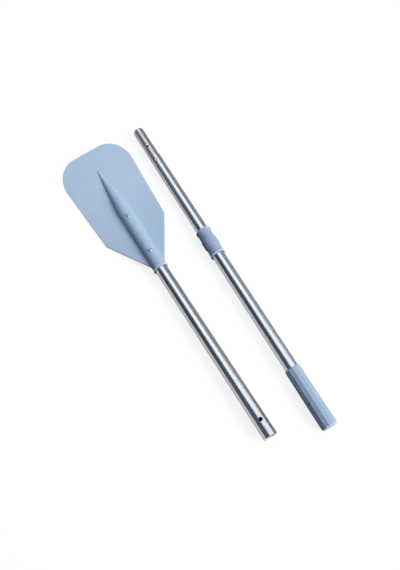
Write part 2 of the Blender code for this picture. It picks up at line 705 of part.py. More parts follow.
def corners_of(holder):
    """World positions of every vertex of the pieces below an empty."""
    graph = bpy.context.evaluated_depsgraph_get()
    points = []
    for piece in holder.children_recursive:
        if piece.type == "MESH" and not piece.hide_render:
            shown = piece.evaluated_get(graph)
            points += [shown.matrix_world @ vertex.co for vertex in shown.data.vertices]
    return points


def lower_to_floor(half):
    """Move a half straight up or down until its lowest point is on the floor."""
    bpy.context.view_layer.update()
    half.location.z -= min(point.z for point in corners_of(half))


def centre_on_origin(pair):
    """Move the pair over the floor until the middle of its box is at the origin."""
    bpy.context.view_layer.update()
    points = corners_of(pair)
    for axis in range(2):
        values = [point[axis] for point in points]
        pair.location[axis] -= (min(values) + max(values)) / 2
    bpy.context.view_layer.update()


def blade_half_rest():
    """Pitch and roll of the blade half when it rests on lip, socket end and blade edge."""
    lip_radius = SOCKET_RADIUS + LIP_FLARE
    pitch = math.atan(LIP_FLARE / SOCKET_LENGTH)
    widest = BLADE_LENGTH - TIP_CORNER_LENGTH
    height = lip_radius - widest * math.tan(pitch)
    roll = math.asin((height - PLATE_EDGE_RADIUS) / (BLADE_HALF_WIDTH - PLATE_EDGE_RADIUS))
    return (-pitch, -roll, 0)


def handle_half_rest():
    """Pitch and heading of the handle half when it rests on its collar and grip end."""
    band_radius = MOULDING_BORE + COLLAR_BAND_WALL
    band_edge = COLLAR_FROM_STEP + (COLLAR_LENGTH + COLLAR_BAND_LENGTH) / 2 - COLLAR_BAND_RAMP
    grip_end = GRIP_FROM_STEP + GRIP_LENGTH - GRIP_END_RADIUS
    pitch = math.atan((band_radius - GRIP_APOTHEM) / (grip_end - band_edge))
    return (pitch, 0, HANDLE_TURN)


def main():
    """Build both halves and set them on the floor side by side."""
    clear_scene()
    finishes = {
        "moulding": finish("moulded_blue_plastic", (0.39, 0.52, 0.70), 0.0, 0.45),
        "aluminium": finish("drawn_aluminium", (0.78, 0.80, 0.82), 1.0, 0.28),
        "sleeve": finish("sleeve_aluminium", (0.70, 0.69, 0.67), 1.0, 0.33),
        "rivet": finish("rivet_aluminium", (0.72, 0.74, 0.76), 1.0, 0.35),
        "steel": finish("plated_steel", (0.62, 0.63, 0.65), 1.0, 0.25),
        "spring": finish("spring_steel", (0.35, 0.36, 0.38), 1.0, 0.35),
        "bung": finish("black_bung_plastic", (0.03, 0.03, 0.03), 0.0, 0.6),
    }
    pair = empty("oar_pair")
    lower_half = empty("blade_half", pair, (0, 0, 0), blade_half_rest())
    upper_half = empty("handle_half", pair, (HANDLE_ASIDE, HANDLE_AHEAD_OF_LIP, 0),
                       handle_half_rest())
    make_lower_half(lower_half, finishes)
    make_upper_half(upper_half, finishes)
    lower_to_floor(lower_half)
    lower_to_floor(upper_half)
    centre_on_origin(pair)


main()
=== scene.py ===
"""Looks of a take-apart aluminium oar, lying as its two halves on a pale studio floor.

The blade half is a moulded blade on a drawn tube, held by two blind rivets. The handle half is
a drawn tube with a spigot, a snap button, a sliding stop collar and a twelve-sided grip. Each
half is modelled along its own Y axis, with its upright along Z, and is then laid where the frame
says. Every size is in metres, and a turn is measured from upright towards the right.
"""

import json
import logging
import math
from dataclasses import dataclass
from enum import Enum
from typing import Callable, Optional, Sequence

import bmesh
import bpy
from mathutils import Matrix, Vector


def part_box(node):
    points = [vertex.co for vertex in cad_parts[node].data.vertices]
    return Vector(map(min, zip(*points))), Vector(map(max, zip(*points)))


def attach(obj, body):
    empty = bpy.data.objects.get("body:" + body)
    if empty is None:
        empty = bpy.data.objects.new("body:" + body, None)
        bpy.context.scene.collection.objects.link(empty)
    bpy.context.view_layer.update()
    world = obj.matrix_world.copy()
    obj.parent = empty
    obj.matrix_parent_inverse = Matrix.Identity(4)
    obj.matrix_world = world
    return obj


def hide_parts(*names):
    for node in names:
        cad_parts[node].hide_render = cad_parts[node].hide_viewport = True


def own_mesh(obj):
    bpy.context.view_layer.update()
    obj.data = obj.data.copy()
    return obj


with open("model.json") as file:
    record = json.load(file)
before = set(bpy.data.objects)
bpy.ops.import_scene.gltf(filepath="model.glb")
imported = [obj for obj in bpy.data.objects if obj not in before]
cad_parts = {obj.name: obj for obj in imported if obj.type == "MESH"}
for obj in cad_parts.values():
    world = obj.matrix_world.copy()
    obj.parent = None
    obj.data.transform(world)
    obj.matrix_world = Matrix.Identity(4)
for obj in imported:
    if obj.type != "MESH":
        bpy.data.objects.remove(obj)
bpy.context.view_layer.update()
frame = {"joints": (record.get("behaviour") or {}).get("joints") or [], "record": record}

LOG = logging.getLogger("oar")
MILLIMETRE = 0.001
WELD_DISTANCE = 0.000001
OVERSHOOT = 0.0020
QUARTER_TURN = math.pi / 2
CRISP_FOLD = math.radians(32)
SQUARE_FOLD = math.radians(60)

# Places of the sockets of a Mix node that mixes colours, and of a Math node.
MIX_SHARE = 0
MIX_FIRST = 6
MIX_SECOND = 7
MIX_RESULT = 2
MATH_FIRST = 0
MATH_SECOND = 1

Pair = tuple[float, float]
Colour = tuple[float, float, float, float]
Socket = bpy.types.NodeSocket
Test = Callable[[Vector], bool]


class Element(Enum):
    """What is picked in edit mode."""

    VERTEX = "VERT"
    EDGE = "EDGE"
    FACE = "FACE"


class Joinery(Enum):
    """How a second solid shapes a piece."""

    CUT = "DIFFERENCE"
    FUSE = "UNION"


class Upright(Enum):
    """Axis that a turned piece is spun about."""

    ALONG_SHAFT = (0.0, 1.0, 0.0)
    OUT_OF_SHAFT = (0.0, 0.0, 1.0)


@dataclass(frozen=True)
class HalfFrame:
    """Where one half lies: a point on its tube's axis, and which ways are ahead and up."""

    body: str
    origin: Vector
    ahead: Vector
    up: Vector

    def matrix(self) -> Matrix:
        """Give the placement of the half's own axes in the frame.

        Returns:
            The placement, with X to the right, Y ahead and Z up.
        """
        right = self.ahead.cross(self.up).normalized()
        upright = right.cross(self.ahead).normalized()
        axes = Matrix((right, self.ahead.normalized(), upright)).transposed()
        return Matrix.Translation(self.origin) @ axes.to_4x4()


def named_axis(rows: Sequence[dict], name: str) -> Vector:
    """Give the axis of one of the frame's mounts or joints."""
    return Vector(next(row["axis"] for row in rows if row["name"] == name))


def box_centre(node: str) -> Vector:
    """Give the middle of a CAD node's box."""
    low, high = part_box(node)
    return (low + high) / 2


def linear(code: str) -> Colour:
    """Turn an sRGB hex colour into Blender's linear values.

    Args:
        code: Six hexadecimal digits.

    Returns:
        Red, green, blue and an alpha of 1.
    """
    values = []
    for start in (0, 2, 4):
        share = int(code[start:start + 2], 16) / 255
        values.append(share / 12.92 if share <= 0.04045 else ((share + 0.055) / 1.055) ** 2.4)
    return (values[0], values[1], values[2], 1.0)


def spaced(start: float, end: float, steps: int) -> list[float]:
    """List evenly spaced values from a start to an end, both of them included."""
    return [start + (end - start) * step / steps for step in range(steps + 1)]


def swell(share: float) -> float:
    """Give a soft S-shaped rise from 0 to 1."""
    return (1 - math.cos(math.pi * share)) / 2


def arc(centre: Pair, radii: Pair, start: float, end: float, steps: int) -> list[Pair]:
    """Lay points on an arc or an elliptical arc, between two angles in radians."""
    return [(centre[0] + radii[0] * math.cos(angle), centre[1] + radii[1] * math.sin(angle))
            for angle in spaced(start, end, steps)]


def ramp(first: float, second: float, start: float, end: float, steps: int) -> list[Pair]:
    """Lay a soft change from a first to a second radius, between two places on the axis."""
    return [(first + (second - first) * swell(share), start + (end - start) * share)
            for share in spaced(0, 1, steps)]


def rounded_corner(before: Pair, corner: Pair, after: Pair, radius: float,
                   steps: int) -> list[Pair]:
    """Replace a corner by an arc that touches both of its sides.

    Args:
        before: Point ahead of the corner.
        corner: The corner itself.
        after: Point past the corner.
        radius: Radius of the arc.
        steps: Number of steps on the arc.

    Returns:
        Points on the arc, from the first side to the second.
    """
    tip = Vector(corner)
    back = (Vector(before) - tip).normalized()
    onward = (Vector(after) - tip).normalized()
    half_angle = back.angle(onward) / 2
    tangent = radius / math.tan(half_angle)
    centre = tip + (back + onward).normalized() * (radius / math.sin(half_angle))
    first = tip + back * tangent - centre
    sweep = first.angle_signed(tip + onward * tangent - centre)
    return [(centre.x + first.x * math.cos(angle) - first.y * math.sin(angle),
             centre.y + first.x * math.sin(angle) + first.y * math.cos(angle))
            for angle in spaced(0, -sweep, steps)]


def softened(profile: Sequence[Pair], radius: float) -> list[Pair]:
    """Round the corners of a closed profile, apart from those on the axis.

    Args:
        profile: Corners of radius and place, in order.
        radius: Radius of the rounding.

    Returns:
        The profile's new points.
    """
    steps = 3
    points: list[Pair] = []
    for index, corner in enumerate(profile):
        if corner[0] < WELD_DISTANCE:
            points.append(corner)
        else:
            after = profile[(index + 1) % len(profile)]
            points += rounded_corner(profile[index - 1], corner, after, radius, steps)
    return points


def shifted_path(path: Sequence[Pair], distance: float) -> list[Pair]:
    """Shift an open path sideways, with mitred corners.

    Args:
        path: Points of place and height.
        distance: How far to the left of the path it moves.

    Returns:
        The shifted points.
    """
    points = [Vector(point) for point in path]
    legs = [(after - here).normalized() for here, after in zip(points, points[1:])]
    shifted = []
    for index, point in enumerate(points):
        incoming = legs[max(index - 1, 0)]
        outgoing = legs[min(index, len(legs) - 1)]
        across = Vector((-incoming.y - outgoing.y, incoming.x + outgoing.x)).normalized()
        stretch = across.dot(Vector((-incoming.y, incoming.x)))
        shifted.append(tuple(point + across * (distance / stretch)))
    return shifted


class Workpiece:
    """A mesh on the bench, shaped by edit-mode operators and by modifiers."""

    def __init__(self, name: str) -> None:
        """Take up the object that was added last, and name it and its mesh."""
        self.thing: bpy.types.Object = bpy.context.active_object
        self.thing.name = self.thing.data.name = name

    @classmethod
    def outlined(cls, name: str, points: Sequence[Vector], filled: bool) -> "Workpiece":
        """Pull the vertices of a circle primitive onto an outline.

        Args:
            name: The piece's name.
            points: The outline's points, in order.
            filled: Whether the outline is a face, or only edges.

        Returns:
            The new piece.
        """
        bpy.ops.object.select_all(action="DESELECT")
        bpy.ops.mesh.primitive_circle_add(vertices=len(points), radius=1.0,
                                          fill_type="NGON" if filled else "NOTHING")
        piece = cls(name)
        for vertex, point in zip(piece.thing.data.vertices, points):
            vertex.co = point
        return piece

    @classmethod
    def raised(cls, name: str, points: Sequence[Vector], height: Vector,
               edges: Optional[Callable] = None, rounding: float = 0.0,
               segments: int = 1) -> "Workpiece":
        """Extrude an outline into a solid and round some of its edges.

        Args:
            name: The piece's name.
            points: The outline's points, in order.
            height: How far and which way the outline is extruded.
            edges: Says yes or no to the rounding of an edge, or None for no rounding.
            rounding: Radius of the rounding.
            segments: Number of faces across it.

        Returns:
            The new piece.
        """
        piece = cls.outlined(name, points, True)
        piece.open()
        piece.pick(Element.FACE)
        bpy.ops.mesh.extrude_region_move(TRANSFORM_OT_translate={"value": height})
        piece.weld()
        if edges:
            piece.pick(Element.EDGE, edges)
            bpy.ops.mesh.bevel(offset=rounding, segments=segments, profile=0.5, affect="EDGES")
        piece.close()
        return piece

    @classmethod
    def turned(cls, name: str, profile: Sequence[Pair], axis: Upright,
               steps: int = 96) -> "Workpiece":
        """Spin a closed profile once round, as on a lathe.

        Args:
            name: The piece's name.
            profile: Points of radius and place along the axis, in order.
            axis: The axis to spin about.
            steps: Number of facets round the piece.

        Returns:
            The new piece, closed, with its faces pointing out.
        """
        shaft = axis is Upright.ALONG_SHAFT
        points = [Vector((radius, place, 0) if shaft else (radius, 0, place))
                  for radius, place in profile]
        piece = cls.outlined(name, points, False)
        piece.open()
        piece.pick(Element.VERTEX)
        bpy.ops.mesh.spin(steps=steps, angle=math.tau, center=(0, 0, 0), axis=axis.value)
        piece.weld()
        piece.close()
        return piece

    @classmethod
    def skinned(cls, name: str, sections: Sequence[Sequence[Vector]]) -> "Workpiece":
        """Roll a grid primitive round into a closed skin, one row to each section.

        Args:
            name: The piece's name.
            sections: Closed loops with the same number of points.

        Returns:
            The new piece, with both of its ends filled.
        """
        rows = len(sections) - 1
        columns = len(sections[0])
        bpy.ops.object.select_all(action="DESELECT")
        bpy.ops.mesh.primitive_grid_add(x_subdivisions=columns, y_subdivisions=rows, size=1.0)
        piece = cls(name)
        for vertex in piece.thing.data.vertices:
            row = round((vertex.co.y + 0.5) * rows)
            column = round((vertex.co.x + 0.5) * columns) % columns
            vertex.co = sections[row][column]
        piece.open()
        piece.weld()
        bpy.ops.mesh.fill_holes(sides=0)
        bpy.ops.mesh.normals_make_consistent(inside=False)
        piece.close()
        return piece

    def hold(self) -> None:
        """Select this piece alone and make it the active one."""
        bpy.ops.object.select_all(action="DESELECT")
        self.thing.select_set(True)
        bpy.context.view_layer.objects.active = self.thing

    def open(self) -> None:
        """Go into edit mode on this piece alone."""
        self.hold()
        bpy.ops.object.mode_set(mode="EDIT")

    def close(self) -> None:
        """Leave edit mode."""
        bpy.ops.object.mode_set(mode="OBJECT")

    def discard(self) -> None:
        """Take the piece and its mesh off the bench."""
        bpy.data.meshes.remove(self.thing.data)

    def pick(self, kind: Element, test: Optional[Callable] = None) -> None:
        """Select what a test accepts, and nothing else.

        Args:
            kind: What is picked.
            test: Says yes or no to one vertex, edge or face, or None for all of them.
        """
        bpy.ops.mesh.select_mode(type=kind.value)
        bpy.ops.mesh.select_all(action="DESELECT" if test else "SELECT")
        if test is None:
            return
        mesh = bmesh.from_edit_mesh(self.thing.data)
        groups = {Element.VERTEX: mesh.verts, Element.EDGE: mesh.edges, Element.FACE: mesh.faces}
        for item in groups[kind]:
            if test(item):
                item.select_set(True)
        mesh.select_flush_mode()
        bmesh.update_edit_mesh(self.thing.data)

    def weld(self) -> None:
        """Merge doubled vertices and point all faces outwards."""
        self.pick(Element.VERTEX)
        bpy.ops.mesh.remove_doubles(threshold=WELD_DISTANCE)
        bpy.ops.mesh.delete_loose(use_verts=True, use_edges=True, use_faces=False)
        self.pick(Element.VERTEX)
        bpy.ops.mesh.normals_make_consistent(inside=False)

    def move(self, along: float, turn: float = 0.0) -> None:
        """Turn the piece about the shaft's axis, then shift it along that axis."""
        self.thing.data.transform(Matrix.Rotation(turn, 4, "Y"))
        self.thing.data.transform(Matrix.Translation((0, along, 0)))

    def apply(self, kind: str, **settings: object) -> None:
        """Add a modifier, set it and apply it.

        Args:
            kind: Blender's name for the kind of modifier.
            settings: The modifier's settings.
        """
        self.hold()
        modifier = self.thing.modifiers.new(kind.title(), kind)
        for name, value in settings.items():
            setattr(modifier, name, value)
        bpy.ops.object.modifier_apply(modifier=modifier.name)

    def join(self, other: "Workpiece", how: Joinery) -> None:
        """Cut another solid out of this piece or fuse it on, which uses it up."""
        self.apply("BOOLEAN", operation=how.value, solver="EXACT", object=other.thing)
        other.discard()

    def drill(self, radius: float, low: float, high: float, along: float, turn: float) -> None:
        """Drill a hole into the piece from the side of the shaft.

        Args:
            radius: Radius of the hole.
            low: Distance of the drill's point from the shaft's axis.
            high: Distance of its other end from the shaft's axis.
            along: Place along the shaft.
            turn: Direction of the drill.
        """
        profile = [(0, low), (radius, low), (radius, high), (0, high)]
        bit = Workpiece.turned("drill", profile, Upright.OUT_OF_SHAFT, 48)
        bit.move(along, turn)
        self.join(bit, Joinery.CUT)

    def copy(self, name: str) -> "Workpiece":
        """Copy the piece, with a mesh of its own.

        Args:
            name: The copy's name.

        Returns:
            The copy.
        """
        self.hold()
        bpy.ops.object.duplicate(linked=False)
        return Workpiece(name)

    def smooth(self, angle: float = CRISP_FOLD, weighted: bool = False) -> None:
        """Shade round faces smooth and keep crisp edges.

        Args:
            angle: Edges that fold more than this stay crisp.
            weighted: Whether large flat faces rule the shading of their edges.
        """
        self.hold()
        bpy.ops.object.shade_smooth_by_angle(angle=angle)
        if weighted:
            self.apply("WEIGHTED_NORMAL", mode="FACE_AREA", weight=50, keep_sharp=True)

    def coat(self, main: bpy.types.Material, other: Optional[bpy.types.Material] = None,
             test: Optional[Test] = None) -> None:
        """Give the piece its finish, and a second one where a test says so.

        Args:
            main: Finish of most faces.
            other: Finish of the faces that the test accepts.
            test: Says yes or no to the middle of a face, in the piece's own axes.
        """
        self.thing.data.materials.clear()
        self.thing.data.materials.append(main)
        if other:
            self.thing.data.materials.append(other)
            for face in self.thing.data.polygons:
                face.material_index = int(test(face.center))

    def coat_bore(self, main: bpy.types.Material, other: bpy.types.Material,
                  radius: float) -> None:
        """Give the piece its finish, and a second one nearer to the axis than a radius."""
        self.coat(main, other, lambda middle: math.hypot(middle.x, middle.z) < radius)

    def seat(self, half: HalfFrame, body: str, slot: str, *nodes: str) -> None:
        """Lay the piece in the frame, make that its shape, hang it on its body and hide the CAD
        nodes it stands for.

        Args:
            half: The half that the piece belongs to.
            body: CAD body that carries the piece.
            slot: Material slot of the record; not used.
            nodes: CAD nodes that the piece stands for.
        """
        self.hold()
        self.thing.matrix_world = half.matrix()
        bpy.ops.object.transform_apply(location=True, rotation=True, scale=True)
        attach(self.thing, body)
        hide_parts(*nodes)
        LOG.info("%s: %d faces on %s", self.thing.name, len(self.thing.data.polygons), body)


def add_node(tree: bpy.types.NodeTree, kind: str, settings: Optional[dict] = None,
             links: Optional[dict] = None) -> bpy.types.Node:
    """Add a node with its settings and links.

    Args:
        tree: Node tree that gets the node.
        kind: Blender's name for the kind of node.
        settings: Values for the node's own properties, or for its sockets by name or number.
        links: Output sockets to link to the node's inputs, by the input's name or number.

    Returns:
        The new node.
    """
    node = tree.nodes.new(kind)
    for name, value in (settings or {}).items():
        if isinstance(name, int) or name in node.inputs:
            node.inputs[name].default_value = value
        else:
            setattr(node, name, value)
    for name, source in (links or {}).items():
        tree.links.new(source, node.inputs[name])
    return node


def local_axes(tree: bpy.types.NodeTree, half: HalfFrame, run: float = 1.0) -> Socket:
    """Give Object coordinates turned into a half's own axes.

    Args:
        tree: Node tree of the material.
        half: The half whose axes the pattern follows.
        run: How many times as long as wide the pattern is drawn, along the shaft.

    Returns:
        Socket with the place in the half's own axes, in metres.
    """
    matrix = half.matrix()
    coordinates = add_node(tree, "ShaderNodeTexCoord")
    mapping = add_node(tree, "ShaderNodeMapping",
                       {"vector_type": "TEXTURE", "Location": matrix.to_translation(),
                        "Rotation": matrix.to_euler("XYZ"), "Scale": (1.0, run, 1.0)},
                       {"Vector": coordinates.outputs["Object"]})
    return mapping.outputs["Vector"]


def new_material(name: str) -> tuple[bpy.types.Material, bpy.types.NodeTree, bpy.types.Node]:
    """Start a material.

    Args:
        name: The material's name.

    Returns:
        The material, its node tree and its Principled shader.
    """
    material = bpy.data.materials.new(name)
    material.use_nodes = True
    tree = material.node_tree
    return material, tree, tree.nodes["Principled BSDF"]


@dataclass(frozen=True)
class Finish:
    """A finish whose colour and gloss vary a little with a pattern.

    Attributes:
        size: Width of the pattern.
        run: How many times as long as wide the pattern is, along the shaft.
        detail: How many finer layers the pattern has.
        unrest: How strong these layers are.
        roughness: Least and greatest roughness.
        relief: Height of the bumps in the surface, or 0 for none.
    """

    name: str
    tint: str
    shade: str
    size: float = 0.8 * MILLIMETRE
    run: float = 1.0
    detail: float = 2.0
    unrest: float = 0.5
    roughness: Pair = (0.22, 0.36)
    relief: float = 0.0

    def uniform(self) -> dict[str, object]:
        """List the shader's values that are the same all over the surface."""
        return {}

    def colour(self, tree: bpy.types.NodeTree, half: HalfFrame, pattern: Socket) -> Socket:
        """Mix the finish's two colours by its pattern, in a half's material."""
        mixed = add_node(tree, "ShaderNodeMix",
                         {"data_type": "RGBA", MIX_FIRST: linear(self.tint),
                          MIX_SECOND: linear(self.shade)}, {MIX_SHARE: pattern})
        return mixed.outputs[MIX_RESULT]

    def bumps(self, tree: bpy.types.NodeTree, place: Socket, pattern: Socket) -> Socket:
        """Give the heights of the surface, which are the pattern's own."""
        return pattern

    def material(self, half: HalfFrame) -> bpy.types.Material:
        """Make the finish for the pieces of one half.

        Args:
            half: The half whose axes the pattern follows.

        Returns:
            The material.
        """
        material, tree, shader = new_material(f"{self.name}_{half.body}")
        place = local_axes(tree, half, self.run)
        noise = add_node(tree, "ShaderNodeTexNoise",
                         {"Scale": 1 / self.size, "Detail": self.detail,
                          "Roughness": self.unrest}, {"Vector": place})
        pattern = noise.outputs["Fac"]
        tree.links.new(self.colour(tree, half, pattern), shader.inputs["Base Color"])
        least, greatest = self.roughness
        shader.inputs["Roughness"].default_value = least
        if greatest > least:
            gloss = add_node(tree, "ShaderNodeMapRange", {"To Min": least, "To Max": greatest},
                             {"Value": pattern})
            tree.links.new(gloss.outputs["Result"], shader.inputs["Roughness"])
        if self.relief > 0:
            bump = add_node(tree, "ShaderNodeBump", {"Strength": 1.0, "Distance": self.relief},
                            {"Height": self.bumps(tree, place, pattern)})
            tree.links.new(bump.outputs["Normal"], shader.inputs["Normal"])
        for name, value in self.uniform().items():
            shader.inputs[name].default_value = value
        return material


@dataclass(frozen=True)
class MouldedPlastic(Finish):
    """Polypropylene, injection moulded against a spark-eroded tool.

    It gives the eye an even pale blue with a satin, slightly cloudy gloss and a fine grain.

    Attributes:
        grain: Width of the tool's grain, drawn three times as coarse as the real 0.2 mm so
            that it shows.
        sheen: Strength of the surface reflection, which the grain breaks up.
    """

    name: str = "moulded_polypropylene"
    tint: str = "b2c5d8"
    shade: str = "a9bed3"
    size: float = 26 * MILLIMETRE
    detail: float = 3.0
    unrest: float = 0.45
    roughness: Pair = (0.52, 0.62)
    relief: float = 0.012 * MILLIMETRE
    grain: float = 0.6 * MILLIMETRE
    sheen: float = 0.04

    def uniform(self) -> dict[str, object]:
        """List the plastic's index of refraction and its sheen."""
        return {"IOR": 1.49, "Specular IOR Level": self.sheen}

    def bumps(self, tree: bpy.types.NodeTree, place: Socket, pattern: Socket) -> Socket:
        """Give the heights of the tool's grain, which is finer than the clouds."""
        grain = add_node(tree, "ShaderNodeTexNoise", {"Scale": 1 / self.grain, "Detail": 2.0},
                         {"Vector": place})
        return grain.outputs["Fac"]


@dataclass(frozen=True)
class BladePlasticWithPaintedShade(MouldedPlastic):
    """The blade's moulding, with painted shade on its rib and towards its lip.

    It gives the eye a pale plate, and a rib and a lip end made darker by painted shade.

    Attributes:
        painted_shade: Colour of the painted shade.
        rib: Heights over the plate's middle at which the rib's painted shade starts and is full.
        lip_shade_end: Distances from the lip where the plate's painted shade starts to fade and
            where it is gone.
        lip_shade_share: Share of the painted shade in the plate at the lip end.
    """

    # Colour of the painted shade on the rib and at the lip end of the plate.
    painted_shade: str = "9eb2c9"
    rib: Pair = (1.5 * MILLIMETRE, 2.6 * MILLIMETRE)
    lip_shade_end: Pair = (50 * MILLIMETRE, 190 * MILLIMETRE)
    lip_shade_share: float = 0.7

    def colour(self, tree: bpy.types.NodeTree, half: HalfFrame, pattern: Socket) -> Socket:
        """Paint shade on the rib and towards the lip, by mixing in a darker colour.

        Args:
            tree: Node tree of the material.
            half: The half whose axes the colour follows.
            pattern: Socket with the clouds' pattern.

        Returns:
            Socket with the colour.
        """
        # Painted shade: strongest on the rib and on the plate near the lip.
        axes = add_node(tree, "ShaderNodeSeparateXYZ", None,
                        {"Vector": local_axes(tree, half)})
        height = add_node(tree, "ShaderNodeMath", {"operation": "ABSOLUTE"},
                          {MATH_FIRST: axes.outputs["Z"]})
        rib = add_node(tree, "ShaderNodeMapRange",
                       {"From Min": self.rib[0], "From Max": self.rib[1]},
                       {"Value": height.outputs["Value"]})
        lip = add_node(tree, "ShaderNodeMapRange",
                       {"From Min": self.lip_shade_end[0], "From Max": self.lip_shade_end[1],
                        "To Min": self.lip_shade_share, "To Max": 0.0},
                       {"Value": axes.outputs["Y"]})
        share = add_node(tree, "ShaderNodeMath", {"operation": "MAXIMUM"},
                         {MATH_FIRST: rib.outputs["Result"], MATH_SECOND: lip.outputs["Result"]})
        mixed = add_node(tree, "ShaderNodeMix",
                         {"data_type": "RGBA", MIX_SECOND: linear(self.painted_shade)},
                         {MIX_SHARE: share.outputs["Value"],
                          MIX_FIRST: super().colour(tree, half, pattern)})
        return mixed.outputs[MIX_RESULT]


@dataclass(frozen=True)
class DrawnAluminium(Finish):
    """Aluminium tube, drawn through a die.

    It gives the eye a bright metal with fine lines along the tube, in which highlights stretch
    a little round the tube.

    Attributes:
        size: Distance between drawing lines, drawn three times as coarse as the real 0.15 mm
            so that they show.
        edge: Grey in which the oxide film dulls the metal at a glancing view.
    """

    name: str = "anodised_drawn_aluminium"
    tint: str = "cbcccf"
    shade: str = "c3c5c9"
    size: float = 0.45 * MILLIMETRE
    run: float = 100.0
    unrest: float = 0.6
    roughness: Pair = (0.29, 0.33)
    relief: float = 0.0004 * MILLIMETRE
    edge: str = "7c7e82"

    def uniform(self) -> dict[str, object]:
        """List what makes the surface a metal with an oxide film."""
        return {"Metallic": 1.0, "Specular Tint": linear(self.edge)}


@dataclass(frozen=True)
class SmallMetal(Finish):
    """Small formed or headed metal part, tumbled or plated.

    It gives the eye an even metal with faint mottling from tumbling.
    """

    detail: float = 3.0

    def uniform(self) -> dict[str, object]:
        """List what makes the surface a metal."""
        return {"Metallic": 1.0}


@dataclass(frozen=True)
class BorePaintedLightAndShade(Finish):
    """Inside of a drawn tube: painted light at the mouth and painted shade behind it.

    It gives the eye a pale matt mouth of painted light and a streaky inside of painted shade.

    Attributes:
        mouth_painted_light: Colour of the painted light at the mouth.
        mouth_light_length: Length of the painted light at the mouth.
        fade: Length over which the painted shade takes over.
        mouth: Place of the mouth along the shaft.
        inward: 1 where the bore runs ahead from its mouth, -1 where it runs behind.
    """

    name: str = "aluminium_bore_painted_light_and_shade"
    # Colours of the painted shade inside the bore.
    tint: str = "34363a"
    shade: str = "1f2023"
    size: float = 1.5 * MILLIMETRE
    run: float = 100 / 3
    roughness: Pair = (0.6, 0.6)
    mouth_painted_light: str = "eceef2"
    mouth_light_length: float = 12 * MILLIMETRE
    fade: float = 3 * MILLIMETRE
    mouth: float = 0.0
    inward: int = 1

    def colour(self, tree: bpy.types.NodeTree, half: HalfFrame, pattern: Socket) -> Socket:
        """Put the painted light's colour at the mouth ahead of the painted shade's.

        Args:
            tree: Node tree of the material.
            half: The half whose axis the bore follows.
            pattern: Socket with the streaks of the painted shade.

        Returns:
            Socket with the colour.
        """
        axes = add_node(tree, "ShaderNodeSeparateXYZ", None,
                        {"Vector": local_axes(tree, half)})
        # Painted light at the mouth, fading into painted shade deeper in.
        end = self.mouth + self.inward * self.mouth_light_length
        depth = add_node(tree, "ShaderNodeMapRange",
                         {"From Min": end, "From Max": end + self.inward * self.fade},
                         {"Value": axes.outputs["Y"]})
        mixed = add_node(tree, "ShaderNodeMix",
                         {"data_type": "RGBA", MIX_FIRST: linear(self.mouth_painted_light)},
                         {MIX_SHARE: depth.outputs["Result"],
                          MIX_SECOND: super().colour(tree, half, pattern)})
        return mixed.outputs[MIX_RESULT]


BLADE_PLASTIC_WITH_PAINTED_SHADE = BladePlasticWithPaintedShade()
# Mouldings of the same plastic, a shade greyer and darker than the blade.
GRIP_PLASTIC = MouldedPlastic("moulded_polypropylene_grip", "a2b4c9", "99aec6")
COLLAR_PLASTIC = MouldedPlastic("moulded_polypropylene_collar", "96a8bf", "8ea2bb")
# Rims painted paler than the rest of the plastic: a painted highlight.
RIM_PLASTIC_PAINTED_HIGHLIGHT = MouldedPlastic("polypropylene_rim_painted_highlight", "c6d2e6", "bccae2")
TUBE_METAL = DrawnAluminium()
# As it left the mill, without a film: warmer and duller than the tubes.
SLEEVE_METAL = DrawnAluminium("mill_finish_aluminium", "d2cfcd", "b6b3b0",
                              roughness=(0.33, 0.41), edge="77746f")
# Soft pale metal tinted blue: a painted reflection of the blue moulding round it.
RIVET_METAL_PAINTED_REFLECTION = SmallMetal("tumbled_rivet_aluminium", "bccadd", "a8b7cc", roughness=(0.24, 0.36))
STEEL = SmallMetal("zinc_plated_steel", "c6c9ce", "a2a6ad")
# The button's dome is bright nickel plate, and its flank is painted dark: a painted shade.
BUTTON_STEEL = SmallMetal("bright_nickel_plated_steel", "dddbd6", "c9c6c0",
                          roughness=(0.10, 0.18))
BUTTON_FLANK_PAINTED_SHADE = SmallMetal("nickel_plated_steel_painted_shade", "26282e", "17181c",
                          roughness=(0.40, 0.55))
# Dark blue-grey from its tempering.
SPRING_STEEL = SmallMetal("blued_spring_steel", "6a6d75", "4a4d56")
# Nearly black and matt from its phosphate coating.
PIN_STEEL = SmallMetal("phosphated_spring_steel", "2c2e35", "1d1f24", roughness=(0.45, 0.6))
# Black thermoplastic rubber, moulded matt, with a greyish bloom on it.
BUNG_RUBBER = Finish("moulded_black_rubber", "17181a", "2b2c2f", 4 * MILLIMETRE,
                     roughness=(0.62, 0.62))


@dataclass(frozen=True)
class Shaft:
    """Sizes of the drawn tube that both halves share, and of what meets it."""

    radius: float = 0.0110
    wall: float = 0.0006
    moulding_gap: float = 0.0003
    spigot_gap: float = 0.0001
    rim_radius: float = 0.00015
    in_socket: float = 0.1400
    drill_turn: float = math.radians(5.0)
    button_turn: float = math.radians(-20.0)
    button_from_step: float = 0.0266
    button_radius: float = 0.0029
    button_gap: float = 0.0002
    dimple_from_step: float = 0.0147
    pin_from_step: float = 0.5451
    pin_turn: float = math.radians(-54.0)

    @property
    def bore(self) -> float:
        """Radius of the tube's bore."""
        return self.radius - self.wall

    @property
    def moulding_bore(self) -> float:
        """Radius of the bore of a moulding that sits on the tube."""
        return self.radius + self.moulding_gap

    @property
    def spigot_radius(self) -> float:
        """Outer radius of the spigot."""
        return self.bore - self.spigot_gap

    @property
    def button_hole(self) -> float:
        """Radius of the hole that the snap button comes through."""
        return self.button_radius + self.button_gap


SHAFT = Shaft()
INSIDE = SHAFT.bore - OVERSHOOT
OUTSIDE = SHAFT.radius + OVERSHOOT


